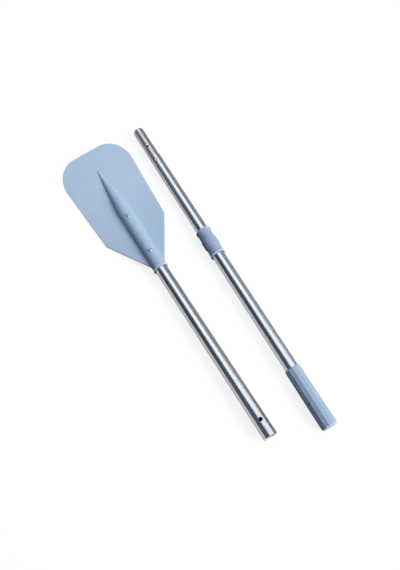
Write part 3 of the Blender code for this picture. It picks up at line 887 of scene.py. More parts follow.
@dataclass(frozen=True)
class BlindRivet:
    """A set blind rivet: low dome outside, swollen tail in the tube, and its broken mandrel.

    Attributes:
        seat: Distance of the dome's underside from the shaft's axis.
        places: Distance of each rivet from the lip.
        dome_edge: Thickness of the dome at its edge.
        mandrel_recess: How far the broken mandrel lies below the dome's top.
        break_share: Share of the mandrel's radius that is left at its broken end.
        gap: Clearance between the metals.
        hole_gap: Clearance round the shank.
    """

    half: HalfFrame
    seat: float
    places: Pair = (0.0350, 0.1205)
    head_radius: float = 0.00315
    head_height: float = 0.0015
    dome_edge: float = 0.0001
    shank_radius: float = 0.0020
    bulb_radius: float = 0.0028
    tail_length: float = 0.0034
    mandrel_radius: float = 0.0009
    mandrel_head_radius: float = 0.0016
    mandrel_head_length: float = 0.0016
    mandrel_recess: float = 0.0007
    break_share: float = 0.8
    break_length: float = 0.0002
    gap: float = 0.00015
    hole_gap: float = 0.0002

    def drill_holes(self, piece: Workpiece, low: float, high: float) -> None:
        """Drill a piece for both shanks, between two distances from the shaft's axis."""
        for along in self.places:
            piece.drill(self.shank_radius + self.hole_gap, low, high, along, SHAFT.drill_turn)

    def bulb_top(self) -> float:
        """Give the height at which the swollen tail meets the tube's bore."""
        return math.sqrt(SHAFT.bore ** 2 - self.bulb_radius ** 2) - self.gap

    def body(self) -> Workpiece:
        """Turn the rivet's body.

        Returns:
            The body, upright at the lip.
        """
        bore = self.mandrel_radius + self.gap
        top = self.bulb_top()
        tail = top - self.tail_length
        bulge = self.bulb_radius - self.shank_radius
        profile = arc((0, self.seat + self.dome_edge),
                      (self.head_radius, self.head_height - self.dome_edge),
                      0, math.acos(bore / self.head_radius), 14)
        profile += [(bore, tail), (self.shank_radius, tail)]
        profile += ramp(self.shank_radius, self.bulb_radius, tail, tail + bulge, 6)[1:]
        profile += ramp(self.bulb_radius, self.shank_radius, top - bulge, top, 6)
        profile += [(self.shank_radius, self.seat), (self.head_radius, self.seat)]
        return Workpiece.turned("rivet", profile, Upright.OUT_OF_SHAFT, 48)

    def mandrel(self) -> Workpiece:
        """Turn the broken mandrel and its head.

        Returns:
            The mandrel, upright at the lip.
        """
        head_top = self.bulb_top() - self.tail_length - self.gap
        half_head = self.mandrel_head_length / 2
        top = self.seat + self.head_height - self.mandrel_recess
        profile = [(0, top), (self.mandrel_radius * self.break_share, top),
                   (self.mandrel_radius, top - self.break_length),
                   (self.mandrel_radius, head_top), (self.mandrel_head_radius, head_top)]
        profile += arc((0, head_top - half_head), (self.mandrel_head_radius, half_head),
                       0, -QUARTER_TURN, 8)
        return Workpiece.turned("mandrel", profile, Upright.OUT_OF_SHAFT, 32)

    def build(self) -> None:
        """Set a rivet and its mandrel at each place."""
        # The rivets' blue tint is a painted reflection.
        for model, finish, slot, stem in ((self.body(), RIVET_METAL_PAINTED_REFLECTION, "rivet", "socket_rivet"),
                                          (self.mandrel(), STEEL, "steel", "rivet_mandrel")):
            model.coat(finish.material(self.half))
            for name, along in zip(("mouth", "tip"), self.places):
                piece = model.copy(f"{stem}_{name}_set")
                piece.move(along, SHAFT.drill_turn)
                piece.smooth()
                piece.seat(self.half, "blade_half", slot, f"{stem}_{name}")
            model.discard()


@dataclass(frozen=True)
class BladeMoulding:
    """The moulded blade: plate, spear-shaped rib, socket and lip in one piece.

    Attributes:
        tip_corner: Half width and half length of the elliptical tip corners.
        shoulder: Half width of the plate at its shoulder, and the shoulder's distance from the
            lip.
        wing_root: Distance from the lip at which the wings leave the socket.
        root_radius: Rounding of the corner between wing and socket.
        spear_point: Distance from the lip to the spear's point.
        spear_share: Share of the spear that is drawn before its point is lost in the plate.
        point_share: Share of its size that the last section keeps, buried in the plate.
        lip_flare: How far the lip stands proud of the socket.
        lip_step: How far the lip's rim stands proud of the rest of the flare.
        foot_radius: Rounding between rib and plate.
        foot_growth: Length over which that rounding grows from the wing's root.
        foot_run_out: Slope at which that rounding meets the plate.
        foot_sunk: How far the rib's foot dips under the plate's face.
        core_wall: Wall round the cored-out spear.
    """

    half: HalfFrame
    length: float = 0.3092
    thickness: float = 0.0030
    edge_radius: float = 0.00135
    half_width: float = 0.0709
    tip_corner: Pair = (0.0430, 0.0600)
    shoulder: Pair = (0.0603, 0.0954)
    shoulder_radius: float = 0.0120
    wing_root: float = 0.0105
    root_radius: float = 0.0160
    socket_wall: float = 0.0015
    socket_length: float = 0.1450
    spear_point: float = 0.2582
    spear_share: float = 0.995
    point_share: float = 0.4
    lip_flare: float = 0.0009
    lip_length: float = 0.0040
    lip_rim: float = 0.0016
    lip_step: float = 0.0004
    lip_round: float = 0.0005
    foot_radius: float = 0.0008
    foot_growth: float = 0.0100
    foot_run_out: float = math.radians(5.0)
    foot_sunk: float = 0.00006
    core_wall: float = 0.0030
    core_tip: float = 0.0010

    @property
    def socket_radius(self) -> float:
        """Outer radius of the socket."""
        return SHAFT.moulding_bore + self.socket_wall

    @property
    def plate_half(self) -> float:
        """Half of the plate's thickness."""
        return self.thickness / 2

    def outline(self) -> list[Vector]:
        """Draw the plate: wing root, shoulder, straight side and tip corner, on both sides.

        Returns:
            The outline's points, on the plate's lower face.
        """
        middle = (self.half_width - self.tip_corner[0], self.length - self.tip_corner[1])
        across = (self.shoulder[0] - middle[0]) / self.tip_corner[0]
        along = (self.shoulder[1] - middle[1]) / self.tip_corner[1]
        touch = math.atan2(along, across) + math.acos(1 / math.hypot(across, along))
        tip = arc(middle, self.tip_corner, touch, QUARTER_TURN, 48)
        root_corner = (self.socket_radius, self.wing_root)
        root = rounded_corner((self.socket_radius, 0), root_corner, self.shoulder,
                              self.root_radius, 16)
        right = [(SHAFT.moulding_bore + self.socket_wall / 2, root[0][1])] + root
        right += rounded_corner(root_corner, self.shoulder, tip[0], self.shoulder_radius, 12)
        right += tip
        left = [(-x, y) for x, y in reversed(right)]
        return [Vector((x, y, -self.plate_half)) for x, y in right + left]

    def rib_radius(self, along: float) -> float:
        """Give the radius of lip, socket and tapering spear.

        Args:
            along: Distance from the lip.

        Returns:
            The radius there.
        """
        if along < self.lip_rim:
            left = max(self.lip_round - along, 0)
            rounding = self.lip_round - math.sqrt(self.lip_round ** 2 - left ** 2)
            return self.socket_radius + self.lip_flare - rounding
        if along < self.lip_length:
            share = (along - self.lip_rim) / (self.lip_length - self.lip_rim)
            return self.socket_radius + (self.lip_flare - self.lip_step) * (1 - swell(share))
        if along <= self.socket_length:
            return self.socket_radius
        share = (self.spear_point - along) / (self.spear_point - self.socket_length)
        return self.plate_half + (self.socket_radius - self.plate_half) * share

    def foot_start(self) -> float:
        """Give the distance from the lip at which the wings are wide enough for the foot."""
        widening = (self.shoulder[0] - self.socket_radius) / (self.shoulder[1] - self.wing_root)
        return self.wing_root + (2 * self.foot_radius + self.edge_radius) / widening

    def foot(self, along: float) -> float:
        """Give the rounding between rib and plate, which fades at both ends.

        Args:
            along: Distance from the lip.

        Returns:
            The rounding's radius there.
        """
        growth = min(max((along - self.foot_start()) / self.foot_growth, 0), 1)
        height = self.rib_radius(along) - self.plate_half
        return self.foot_radius * growth * min(height / (self.socket_radius - self.plate_half), 1)

    def section(self, along: float, shrink: float = 1.0) -> list[Vector]:
        """Draw the rib's section: crown, foot rounding and what the plate hides.

        Args:
            along: Distance from the lip.
            shrink: Share of the true size that is drawn.

        Returns:
            The section's closed loop, the same number of points anywhere on the rib.
        """
        crown_steps = 20
        foot_steps = 10
        radius = self.rib_radius(along)
        foot = self.foot(along)
        low = math.asin(min((self.plate_half + foot) / (radius + foot), 1))
        quarter = arc((0, 0), (radius, radius), QUARTER_TURN, low, crown_steps)
        if foot == 0:
            quarter += arc((0, 0), (radius, radius), low, 0, foot_steps + 2)[1:]
        else:
            middle = ((radius + foot) * math.cos(low), self.plate_half + foot)
            quarter += arc(middle, (foot, foot), math.pi + low,
                           3 * QUARTER_TURN - self.foot_run_out, foot_steps)[1:]
            floor = self.plate_half - self.foot_sunk
            run = quarter[-1][0] + (quarter[-1][1] - floor) / math.tan(self.foot_run_out)
            quarter += [(run, floor), (run, 0)]
        right = quarter + [(x, -z) for x, z in reversed(quarter[:-1])]
        loop = right + [(-x, z) for x, z in reversed(right[1:-1])]
        return [Vector((x * shrink, along, z * shrink)) for x, z in loop]

    def stations(self) -> list[float]:
        """List where the rib's section changes.

        Returns:
            The distances from the lip.
        """
        places = [self.lip_round * (1 - math.cos(angle)) for angle in spaced(0, QUARTER_TURN, 5)]
        places.append(self.lip_rim - 0.1 * MILLIMETRE)
        places += spaced(self.lip_rim, self.lip_length, 6)
        places += spaced(self.foot_start(), self.foot_start() + self.foot_growth, 12)
        spear = (self.spear_point - self.socket_length) * self.spear_share
        places += [self.socket_length + spear * math.sin(angle)
                   for angle in spaced(0, QUARTER_TURN, 16)]
        return places

    def plate(self) -> Workpiece:
        """Raise the plate from its outline and round the edges of its two faces."""
        return Workpiece.raised(
            "blade_moulding", self.outline(), Vector((0, 0, self.thickness)),
            lambda edge: edge.calc_face_angle(0) > SQUARE_FOLD
            and abs(edge.verts[0].co.z - edge.verts[1].co.z) < WELD_DISTANCE,
            self.edge_radius, 6)

    def rib(self) -> Workpiece:
        """Skin the rib over its sections.

        Returns:
            The rib, with its far end buried in the plate.
        """
        stations = self.stations()
        buried = self.section(stations[-1], self.point_share)
        for point in buried:
            point.y += self.plate_half
        return Workpiece.skinned("rib", [self.section(along) for along in stations] + [buried])

    def core(self) -> Workpiece:
        """Turn the core: the tube's seat, a chamfer at the lip, and the hollow spear.

        Returns:
            The core, which is cut out of the moulding.
        """
        bore = SHAFT.moulding_bore
        radius = self.socket_radius - self.core_wall
        slope = (self.socket_radius - self.plate_half) / (self.spear_point - self.socket_length)
        seat = SHAFT.in_socket + SHAFT.moulding_gap
        tip = self.socket_length + (radius - self.core_tip) / slope
        chamfer = self.lip_round / 2
        profile = [(0, -OVERSHOOT), (bore + chamfer + OVERSHOOT, -OVERSHOOT),
                   (bore + chamfer, 0), (bore, chamfer), (bore, seat), (radius, seat),
                   (radius, self.socket_length), (self.core_tip, tip), (0, tip + self.core_tip)]
        return Workpiece.turned("core", profile, Upright.ALONG_SHAFT)

    def build(self, rivet: BlindRivet) -> None:
        """Fuse plate and rib, core the socket and drill it.

        Args:
            rivet: The rivet that the socket is drilled for.
        """
        piece = self.plate()
        piece.join(self.rib(), Joinery.FUSE)
        piece.join(self.core(), Joinery.CUT)
        rivet.drill_holes(piece, SHAFT.bore, self.socket_radius + OVERSHOOT)
        piece.smooth(weighted=True)
        # The lip's rim is painted paler: a painted highlight.
        piece.coat(BLADE_PLASTIC_WITH_PAINTED_SHADE.material(self.half), RIM_PLASTIC_PAINTED_HIGHLIGHT.material(self.half),
                   lambda middle: middle.y < self.lip_rim)
        piece.seat(self.half, "blade_half", "moulding", "blade")


@dataclass(frozen=True)
class LowerTube:
    """The blade half's tube, open at the joint end, with its button hole."""

    half: HalfFrame
    out_of_socket: float = 0.3253

    def build(self, rivet: BlindRivet) -> None:
        """Turn the tube and drill it.

        Args:
            rivet: The rivet that the tube is drilled for.
        """
        mouth = -self.out_of_socket
        profile = softened([(SHAFT.radius, mouth), (SHAFT.radius, SHAFT.in_socket),
                            (SHAFT.bore, SHAFT.in_socket), (SHAFT.bore, mouth)],
                           SHAFT.rim_radius)
        piece = Workpiece.turned("lower_tube_drawn", profile, Upright.ALONG_SHAFT, 128)
        piece.drill(SHAFT.button_hole, INSIDE, OUTSIDE, mouth + SHAFT.button_from_step,
                    SHAFT.drill_turn)
        rivet.drill_holes(piece, INSIDE, OUTSIDE)
        piece.smooth(weighted=True)
        # The tube's bore: painted light at the mouth, painted shade inside.
        piece.coat_bore(TUBE_METAL.material(self.half), BorePaintedLightAndShade(mouth=mouth).material(self.half),
                        SHAFT.bore + SHAFT.wall / 4)
        piece.seat(self.half, "blade_half", "tube", "lower_tube")


@dataclass(frozen=True)
class UpperTube:
    """The handle half's long tube, with the punched dimple that locks the spigot."""

    half: HalfFrame
    length: float = 0.5823
    dimple_radius: float = 0.00235
    dimple_depth: float = 0.0009
    pin_hole_radius: float = 0.0016

    def sink(self, piece: Workpiece) -> None:
        """Press the dimple: walls near its middle move in along the dimple's direction.

        Args:
            piece: The tube, with rows of vertices round the dimple.
        """
        push = Vector((math.sin(SHAFT.button_turn), 0, math.cos(SHAFT.button_turn)))
        middle = Vector((0, -SHAFT.dimple_from_step, 0))
        for vertex in piece.thing.data.vertices:
            offset = vertex.co - middle
            height = offset.dot(push)
            distance = (offset - push * height).length
            if height > 0 and distance < self.dimple_radius:
                vertex.co -= push * self.dimple_depth * (1 - swell(distance / self.dimple_radius))

    def build(self) -> None:
        """Turn the tube, press its dimple and drill it for the roll pin."""
        ends = softened([(SHAFT.radius, -self.length), (SHAFT.radius, 0), (SHAFT.bore, 0),
                         (SHAFT.bore, -self.length)], SHAFT.rim_radius)
        quarter = len(ends) // 4
        far = -SHAFT.dimple_from_step - self.dimple_radius
        dense = spaced(far, far + 2 * self.dimple_radius, 20)
        profile = ends[:quarter] + [(SHAFT.radius, place) for place in dense]
        profile += ends[quarter:3 * quarter] + [(SHAFT.bore, place) for place in reversed(dense)]
        profile += ends[3 * quarter:]
        piece = Workpiece.turned("upper_tube_drawn", profile, Upright.ALONG_SHAFT, 256)
        self.sink(piece)
        piece.drill(self.pin_hole_radius, INSIDE, OUTSIDE, -SHAFT.pin_from_step, SHAFT.pin_turn)
        piece.smooth(weighted=True)
        piece.coat(TUBE_METAL.material(self.half))
        piece.seat(self.half, "handle_half", "tube", "upper_tube")


@dataclass(frozen=True)
class SpigotSleeve:
    """The sleeve that stands out of the upper tube and plugs into the lower one.

    Attributes:
        reach: Length that stands out of the step.
        held: Length inside the upper tube.
        nose_turn: Angle that the nose is rolled in by.
        dimple_hole_radius: Radius of the hole that the dimple presses into.
    """

    half: HalfFrame
    wall: float = 0.0006
    reach: float = 0.0768
    held: float = 0.0600
    nose_radius: float = 0.0018
    nose_turn: float = math.radians(75.0)
    dimple_hole_radius: float = 0.00255

    @property
    def bore(self) -> float:
        """Radius of the sleeve's bore."""
        return SHAFT.spigot_radius - self.wall

    def build(self) -> None:
        """Turn the sleeve with its rolled nose and drill it."""
        outer = SHAFT.spigot_radius
        inside = self.nose_radius - self.wall
        centre = (outer - self.nose_radius, self.reach - self.nose_radius)
        profile = [(outer, -self.held)]
        profile += arc(centre, (self.nose_radius, self.nose_radius), 0, self.nose_turn, 12)
        profile += arc(centre, (inside, inside), self.nose_turn, 0, 12)
        profile += [(self.bore, -self.held)]
        piece = Workpiece.turned("spigot_sleeve_rolled", profile, Upright.ALONG_SHAFT, 128)
        for radius, along in ((SHAFT.button_hole, SHAFT.button_from_step),
                              (self.dimple_hole_radius, -SHAFT.dimple_from_step)):
            piece.drill(radius, self.bore - OVERSHOOT, outer + OVERSHOOT, along,
                        SHAFT.button_turn)
        piece.smooth(weighted=True)
        # The sleeve's bore: painted light at the mouth, painted shade inside.
        piece.coat_bore(SLEEVE_METAL.material(self.half),
                        BorePaintedLightAndShade(mouth=self.reach, inward=-1).material(self.half),
                        self.bore + self.wall / 4)
        piece.seat(self.half, "handle_half", "sleeve", "spigot_sleeve")


@dataclass(frozen=True)
class SnapButton:
    """The domed button and the folded leaf spring that carries it.

    Attributes:
        sleeve_bore: Radius of the bore that the spring sits in.
        proud: How far the button stands out of the spigot.
        tail_radius: Radius of the riveted end of the tenon, behind the spring.
        leaf: Thickness of the spring's strip.
        seat_length: Length of the strip's flat under the button.
        slope_length: Length from there to the fold.
        knee_radius: Radius of the bend beside the flat.
        gap: Clearance between the metals.
        travel: How far the button is pressed; not used.
    """

    half: HalfFrame
    sleeve_bore: float
    proud: float = 0.0040
    dome: float = 0.0019
    tenon_radius: float = 0.0015
    tail_radius: float = 0.0023
    tail_thickness: float = 0.0008
    leaf: float = 0.0006
    leaf_width: float = 0.0070
    seat_length: float = 0.0140
    slope_length: float = 0.0250
    knee_radius: float = 0.0040
    fold_radius: float = 0.0025
    gap: float = 0.00015
    travel: float = 0.0042

    def leaf_top(self) -> float:
        """Give the height of the strip's upper face above the shaft's axis."""
        return math.sqrt(self.sleeve_bore ** 2 - (self.leaf_width / 2) ** 2) - self.gap

    def flank_top(self) -> float:
        """Give the height at which the button's flank ends and its dome starts."""
        return SHAFT.spigot_radius + self.proud - self.dome

    def button(self) -> Workpiece:
        """Turn the button.

        Returns:
            Dome, pin, tenon and riveted end, upright at the step.
        """
        radius = SHAFT.button_radius
        shoulder = self.leaf_top() + self.gap
        tail = self.leaf_top() - self.leaf - self.gap
        bead = self.tail_thickness / 2
        profile = arc((0, self.flank_top()), (radius, self.dome), QUARTER_TURN, 0, 14)
        profile += [(radius, shoulder), (self.tenon_radius, shoulder), (self.tenon_radius, tail)]
        profile += arc((self.tail_radius - bead, tail - bead), (bead, bead),
                       QUARTER_TURN, -QUARTER_TURN, 6)
        profile += [(0, tail - self.tail_thickness)]
        return Workpiece.turned("snap_button_headed", profile, Upright.OUT_OF_SHAFT, 64)

    def strip(self) -> list[Pair]:
        """Draw the strip's side view: two legs against the sleeve, folded behind the button.

        Returns:
            Points of place and height on the middle of the strip.
        """
        height = self.leaf_top() - self.leaf / 2
        seat = self.seat_length / 2
        fold = (-seat - self.slope_length, 0.0)
        middle = [(seat, height)]
        middle += rounded_corner((seat, height), (-seat, height), fold, self.knee_radius, 6)
        middle += rounded_corner((-seat, height), fold, (-seat, -height), self.fold_radius, 14)
        middle += rounded_corner(fold, (-seat, -height), (seat, -height), self.knee_radius, 6)
        middle += [(seat, -height)]
        return middle

    def spring(self) -> Workpiece:
        """Fold the strip, widen it to its width, round its edges and drill it.

        Returns:
            The spring, upright at the step.
        """
        side = shifted_path(self.strip(), self.leaf / 2)
        side += reversed(shifted_path(self.strip(), -self.leaf / 2))
        points = [Vector((-self.leaf_width / 2, place, height)) for place, height in side]
        piece = Workpiece.raised("button_spring_folded", points, Vector((self.leaf_width, 0, 0)),
                                 lambda edge: edge.calc_face_angle(0) > SQUARE_FOLD,
                                 self.leaf / 6, 2)
        piece.drill(self.tenon_radius + self.gap, 0, self.sleeve_bore, 0, 0)
        return piece

    def build(self) -> None:
        """Set the button in its spring, in the spigot."""
        button = self.button()
        spring = self.spring()
        # Below its dome the button's flank is painted dark: a painted shade.
        button.coat(BUTTON_STEEL.material(self.half), BUTTON_FLANK_PAINTED_SHADE.material(self.half),
                    lambda middle: middle.z < self.flank_top())
        spring.coat(SPRING_STEEL.material(self.half))
        for piece in (button, spring):
            piece.move(SHAFT.button_from_step, SHAFT.button_turn)
            piece.smooth()
        button.seat(self.half, "button", "steel", "snap_button")
        spring.seat(self.half, "handle_half", "spring", "button_spring")
        press = named_axis(frame["joints"], "button_press")
        foot = self.half.matrix() @ Vector((0, SHAFT.button_from_step, 0))
        foot += press * self.leaf_top()
        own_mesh(spring.thing)


@dataclass(frozen=True)
class StopCollar:
    """The sliding collar: two end flanges, two waists and a raised middle band.

    Attributes:
        from_step: Distance of its front face from the step.
        rim_step: How far the rim stands proud of the rest of the flange.
        rim_edge: Bevel between the rim and the rest of the flange.
        nose: Rounding of the rim's outer edge.
        flange_ramp: Length over which a flange runs into the waist.
        band_ramp: Length over which the band runs into the waist.
        chamfer: Chamfer of the bore's mouths.
    """

    half: HalfFrame
    from_step: float = 0.1986
    length: float = 0.0558
    waist_wall: float = 0.0016
    flange_wall: float = 0.0027
    flange_length: float = 0.0030
    rim_length: float = 0.0018
    rim_step: float = 0.0005
    rim_edge: float = 0.00015
    nose: float = 0.0008
    flange_ramp: float = 0.0034
    band_wall: float = 0.0029
    band_length: float = 0.0160
    band_ramp: float = 0.0013
    chamfer: float = 0.0003

    def build(self) -> None:
        """Turn the collar."""
        front = self.length / 2
        rim = front - self.rim_length
        side = front - self.flange_length
        end = self.band_length / 2
        bore = SHAFT.moulding_bore
        flange = bore + self.flange_wall
        shelf = flange - self.rim_step
        waist = bore + self.waist_wall
        half = [(bore, front - self.chamfer), (bore + self.chamfer, front)]
        half += arc((flange - self.nose, front - self.nose), (self.nose, self.nose),
                    QUARTER_TURN, 0, 10)
        half += [(flange, rim + self.rim_edge), (flange - self.rim_edge, rim), (shelf, rim)]
        half += ramp(shelf, waist, side, side - self.flange_ramp, 12)
        half += ramp(waist, bore + self.band_wall, end, end - self.band_ramp, 10)
        profile = half + [(radius, -along) for radius, along in reversed(half)]
        piece = Workpiece.turned("stop_collar_moulded", profile, Upright.ALONG_SHAFT, 128)
        centre = -self.from_step - front
        piece.move(centre)
        piece.smooth()
        # The collar's end rims are painted paler: a painted highlight.
        piece.coat(COLLAR_PLASTIC.material(self.half), RIM_PLASTIC_PAINTED_HIGHLIGHT.material(self.half),
                   lambda middle: abs(middle.y - centre) > rim)
        piece.seat(self.half, "collar", "moulding", "stop_collar")


@dataclass(frozen=True)
class Grip:
    """The twelve-sided grip with fine lengthwise ribs, closed at its end, and its roll pin.

    Attributes:
        from_step: Distance of its front face from the step.
        wall: Wall between its bore and the middle of a flat.
        end_wall: Thickness of its closed end.
        corner_radius: Rounding between two flats.
        ribs: Number of ribs on a flat.
        rib_depth: Depth of the grooves between the ribs.
        rib_margin: Length at each end that stays smooth.
        rib_run: Length over which the grooves reach their depth.
        crisp_fold: Edges of the grip that fold more than this stay crisp.
        pin_below: How far the roll pin's end lies below the flat.
    """

    half: HalfFrame
    from_step: float = 0.4866
    length: float = 0.1000
    flats: int = 12
    wall: float = 0.0010
    end_wall: float = 0.0040
    end_radius: float = 0.0038
    front_radius: float = 0.0006
    chamfer: float = 0.00025
    corner_radius: float = 0.0008
    ribs: int = 2
    rib_depth: float = 0.00010
    rib_margin: float = 0.0060
    rib_run: float = 0.0025
    crisp_fold: float = math.radians(40.0)
    pin_radius: float = 0.0015
    pin_wall: float = 0.0004
    pin_slot: float = 0.0006
    pin_length: float = 0.0050
    pin_below: float = 0.0002
    pin_gap: float = 0.0001

    @property
    def apothem(self) -> float:
        """Distance from the axis to the middle of a flat."""
        return SHAFT.moulding_bore + self.wall

    def flat(self) -> list[tuple[float, float, float]]:
        """List the points across one flat and the corner after it.

        Returns:
            For each point: its place across the flat, its height over the flat's foot on the
            axis, and its share of a groove's depth.
        """
        half_turn = math.pi / self.flats
        edge = (self.apothem - self.corner_radius) * math.tan(half_turn)
        points = [(edge * (2 * share - 1), self.apothem, swell(2 * self.ribs * share))
                  for share in spaced(0, 1, 28)]
        for angle in spaced(0, 2 * half_turn, 4)[1:4]:
            points.append((edge + self.corner_radius * math.sin(angle),
                           self.apothem - self.corner_radius * (1 - math.cos(angle)), 0.0))
        return points

    def section(self, along: float, shrink: float, ribbed: float) -> list[Vector]:
        """Draw the grip's section.

        Args:
            along: Distance from the front face.
            shrink: How far the flats are drawn in, for the roundings at the ends.
            ribbed: Share of the grooves' depth.

        Returns:
            The section's closed loop.
        """
        share = (self.apothem - shrink) / self.apothem
        loop = []
        for turn in spaced(0, math.tau, self.flats)[:-1]:
            for across, height, groove in self.flat():
                depth = height - groove * ribbed * self.rib_depth
                x = (across * math.cos(turn) + depth * math.sin(turn)) * share
                z = (depth * math.cos(turn) - across * math.sin(turn)) * share
                loop.append(Vector((x, -self.from_step - along, z)))
        return loop

    def body(self) -> Workpiece:
        """Skin the grip over its sections, from the rounded front rim to the rounded end.

        Returns:
            The grip, not yet bored.
        """
        rows = [(self.front_radius * (1 - math.cos(angle)),
                 self.front_radius * (1 - math.sin(angle)), 0)
                for angle in spaced(0, QUARTER_TURN, 4)]
        rise = [(self.rib_margin + self.rib_run * share, 0, swell(share))
                for share in spaced(0, 1, 8)]
        rows += rise
        rows += [(self.length - along, 0, ribbed) for along, _, ribbed in reversed(rise)]
        rows += [(self.length - self.end_radius * (1 - math.sin(angle)),
                  self.end_radius * (1 - math.cos(angle)), 0)
                 for angle in spaced(0, QUARTER_TURN, 12)]
        return Workpiece.skinned("grip_moulded", [self.section(*row) for row in rows])

    def pin(self) -> Workpiece:
        """Roll the slotted pin.

        Returns:
            The pin, upright at the step.
        """
        inner = self.pin_radius - self.pin_wall
        slot = self.pin_slot / self.pin_radius / 2
        outline = arc((0, 0), (self.pin_radius, self.pin_radius), slot, math.tau - slot, 40)
        outline += arc((0, 0), (inner, inner), math.tau - slot, slot, 40)
        foot = self.apothem - self.pin_below - self.pin_length
        points = [Vector((x, y, foot)) for x, y in outline]
        return Workpiece.raised("grip_roll_pin_rolled", points, Vector((0, 0, self.pin_length)))

    def build(self) -> None:
        """Bore and drill the grip and drive its roll pin."""
        piece = self.body()
        front = -self.from_step
        end = front - self.length
        bore = SHAFT.moulding_bore
        inside = end + self.end_wall
        profile = [(0, inside), (bore, inside), (bore, front - self.chamfer),
                   (bore + self.chamfer, front), (bore + self.chamfer, front + OVERSHOOT),
                   (0, front + OVERSHOOT)]
        piece.join(Workpiece.turned("bore", profile, Upright.ALONG_SHAFT, 128), Joinery.CUT)
        piece.drill(self.pin_radius + self.pin_gap, SHAFT.bore, self.apothem + OVERSHOOT,
                    -SHAFT.pin_from_step, SHAFT.pin_turn)
        piece.smooth(self.crisp_fold, weighted=True)
        # The grip's rounded end is painted paler: a painted highlight.
        piece.coat(GRIP_PLASTIC.material(self.half), RIM_PLASTIC_PAINTED_HIGHLIGHT.material(self.half),
                   lambda middle: middle.y < end + self.end_radius / 2)
        piece.seat(self.half, "handle_half", "moulding", "grip")
        pin = self.pin()
        pin.move(-SHAFT.pin_from_step, SHAFT.pin_turn)
        pin.smooth()
        pin.coat(PIN_STEEL.material(self.half))
        pin.seat(self.half, "handle_half", "steel", "grip_roll_pin")


@dataclass(frozen=True)
class WaterStop:
    """A moulded cup-shaped bung that keeps water out of a tube.

    Attributes:
        node: CAD node that it stands for.
        bore: Radius of the bore that it closes.
        face: Place of its closed face along the shaft.
        away: 1 where the cup opens ahead, -1 where it opens behind.
        groove: Depth of the grooves between its sealing rings.
        gap: Clearance to the bore.
    """

    half: HalfFrame
    node: str
    bore: float
    face: float
    away: int
    length: float = 0.0160
    wall: float = 0.0014
    groove: float = 0.0008
    edge_radius: float = 0.0002
    gap: float = 0.00015

    def build(self) -> None:
        """Turn the bung with its sealing rings."""
        outer = self.bore - self.gap
        valley = outer - self.groove
        inner = valley - self.wall
        land = self.length / 5
        corners = [(0, 0), (outer, 0), (outer, land), (valley, land), (valley, 2 * land),
                   (outer, 2 * land), (outer, 3 * land), (valley, 3 * land), (valley, 4 * land),
                   (outer, 4 * land), (outer, self.length), (inner, self.length),
                   (inner, self.wall), (0, self.wall)]
        profile = [(radius, self.face + self.away * depth)
                   for radius, depth in softened(corners, self.edge_radius)]
        piece = Workpiece.turned(f"{self.node}_moulded", profile, Upright.ALONG_SHAFT)
        piece.smooth()
        piece.coat(BUNG_RUBBER.material(self.half))
        piece.seat(self.half, self.half.body, "bung", self.node)


@dataclass(frozen=True)
class BladeHalf:
    """The half with the blade: moulding, tube, rivets and bung.

    Attributes:
        tube_centre_to_lip: Distance from the middle of the tube to the socket's lip.
        stop_from_mouth: Distance of the bung's face from the tube's mouth.
    """

    tube_centre_to_lip: float = 0.09265
    stop_from_mouth: float = 0.0950

    def half(self) -> HalfFrame:
        """Find the half in the frame, from its tube's mouth and its blade's face.

        Returns:
            The half, with its origin in the middle of the lip.
        """
        mounts = frame["record"]["mounts"]
        ahead = -named_axis(mounts, "lower_tube_mouth")
        lip = box_centre("lower_tube") + ahead * self.tube_centre_to_lip
        return HalfFrame("blade_half", lip, ahead, named_axis(mounts, "blade_face"))

    def build(self) -> None:
        """Build the half's pieces."""
        half = self.half()
        blade = BladeMoulding(half)
        rivet = BlindRivet(half, blade.socket_radius + BlindRivet.gap)
        tube = LowerTube(half)
        blade.build(rivet)
        tube.build(rivet)
        rivet.build()
        face = self.stop_from_mouth - tube.out_of_socket
        WaterStop(half, "lower_water_stop", SHAFT.bore, face, 1).build()


@dataclass(frozen=True)
class HandleHalf:
    """The half with the handle: tube, spigot, snap button, collar, grip and bung.

    Attributes:
        stop_from_sleeve_end: Distance from the sleeve's inner end to the bung.
    """

    stop_from_sleeve_end: float = 0.0020

    def half(self) -> HalfFrame:
        """Find the half in the frame, from its collar's slide and its grip's flat.

        Returns:
            The half, with its origin in the middle of the step.
        """
        ahead = named_axis(frame["joints"], "collar_slide")
        step = box_centre("upper_tube") + ahead * (UpperTube.length / 2)
        return HalfFrame("handle_half", step, ahead,
                         -named_axis(frame["record"]["mounts"], "grip_flat"))

    def build(self) -> None:
        """Build the half's pieces."""
        half = self.half()
        sleeve = SpigotSleeve(half)
        UpperTube(half).build()
        sleeve.build()
        SnapButton(half, sleeve.bore).build()
        StopCollar(half).build()
        Grip(half).build()
        face = self.stop_from_sleeve_end + WaterStop.length - sleeve.held
        WaterStop(half, "upper_water_stop", sleeve.bore, face, -1).build()


@dataclass(frozen=True)
class Lamp:
    """A soft box or a dim card, with its width and height, and its power in watts."""

    name: str
    place: tuple[float, float, float]
    aim: tuple[float, float, float]
    size: Pair
    power: float
    tint: str = "ffffff"

    def build(self) -> None:
        """Hang the lamp."""
        light = bpy.data.lights.new(self.name, "AREA")
        light.shape = "RECTANGLE"
        light.size, light.size_y = self.size
        light.energy = self.power
        light.color = linear(self.tint)[:3]
        lamp = bpy.data.objects.new(self.name, light)
        direction = Vector(self.aim) - Vector(self.place)
        lamp.location = self.place
        lamp.rotation_euler = direction.to_track_quat("-Z", "Y").to_euler()
        bpy.context.scene.collection.objects.link(lamp)


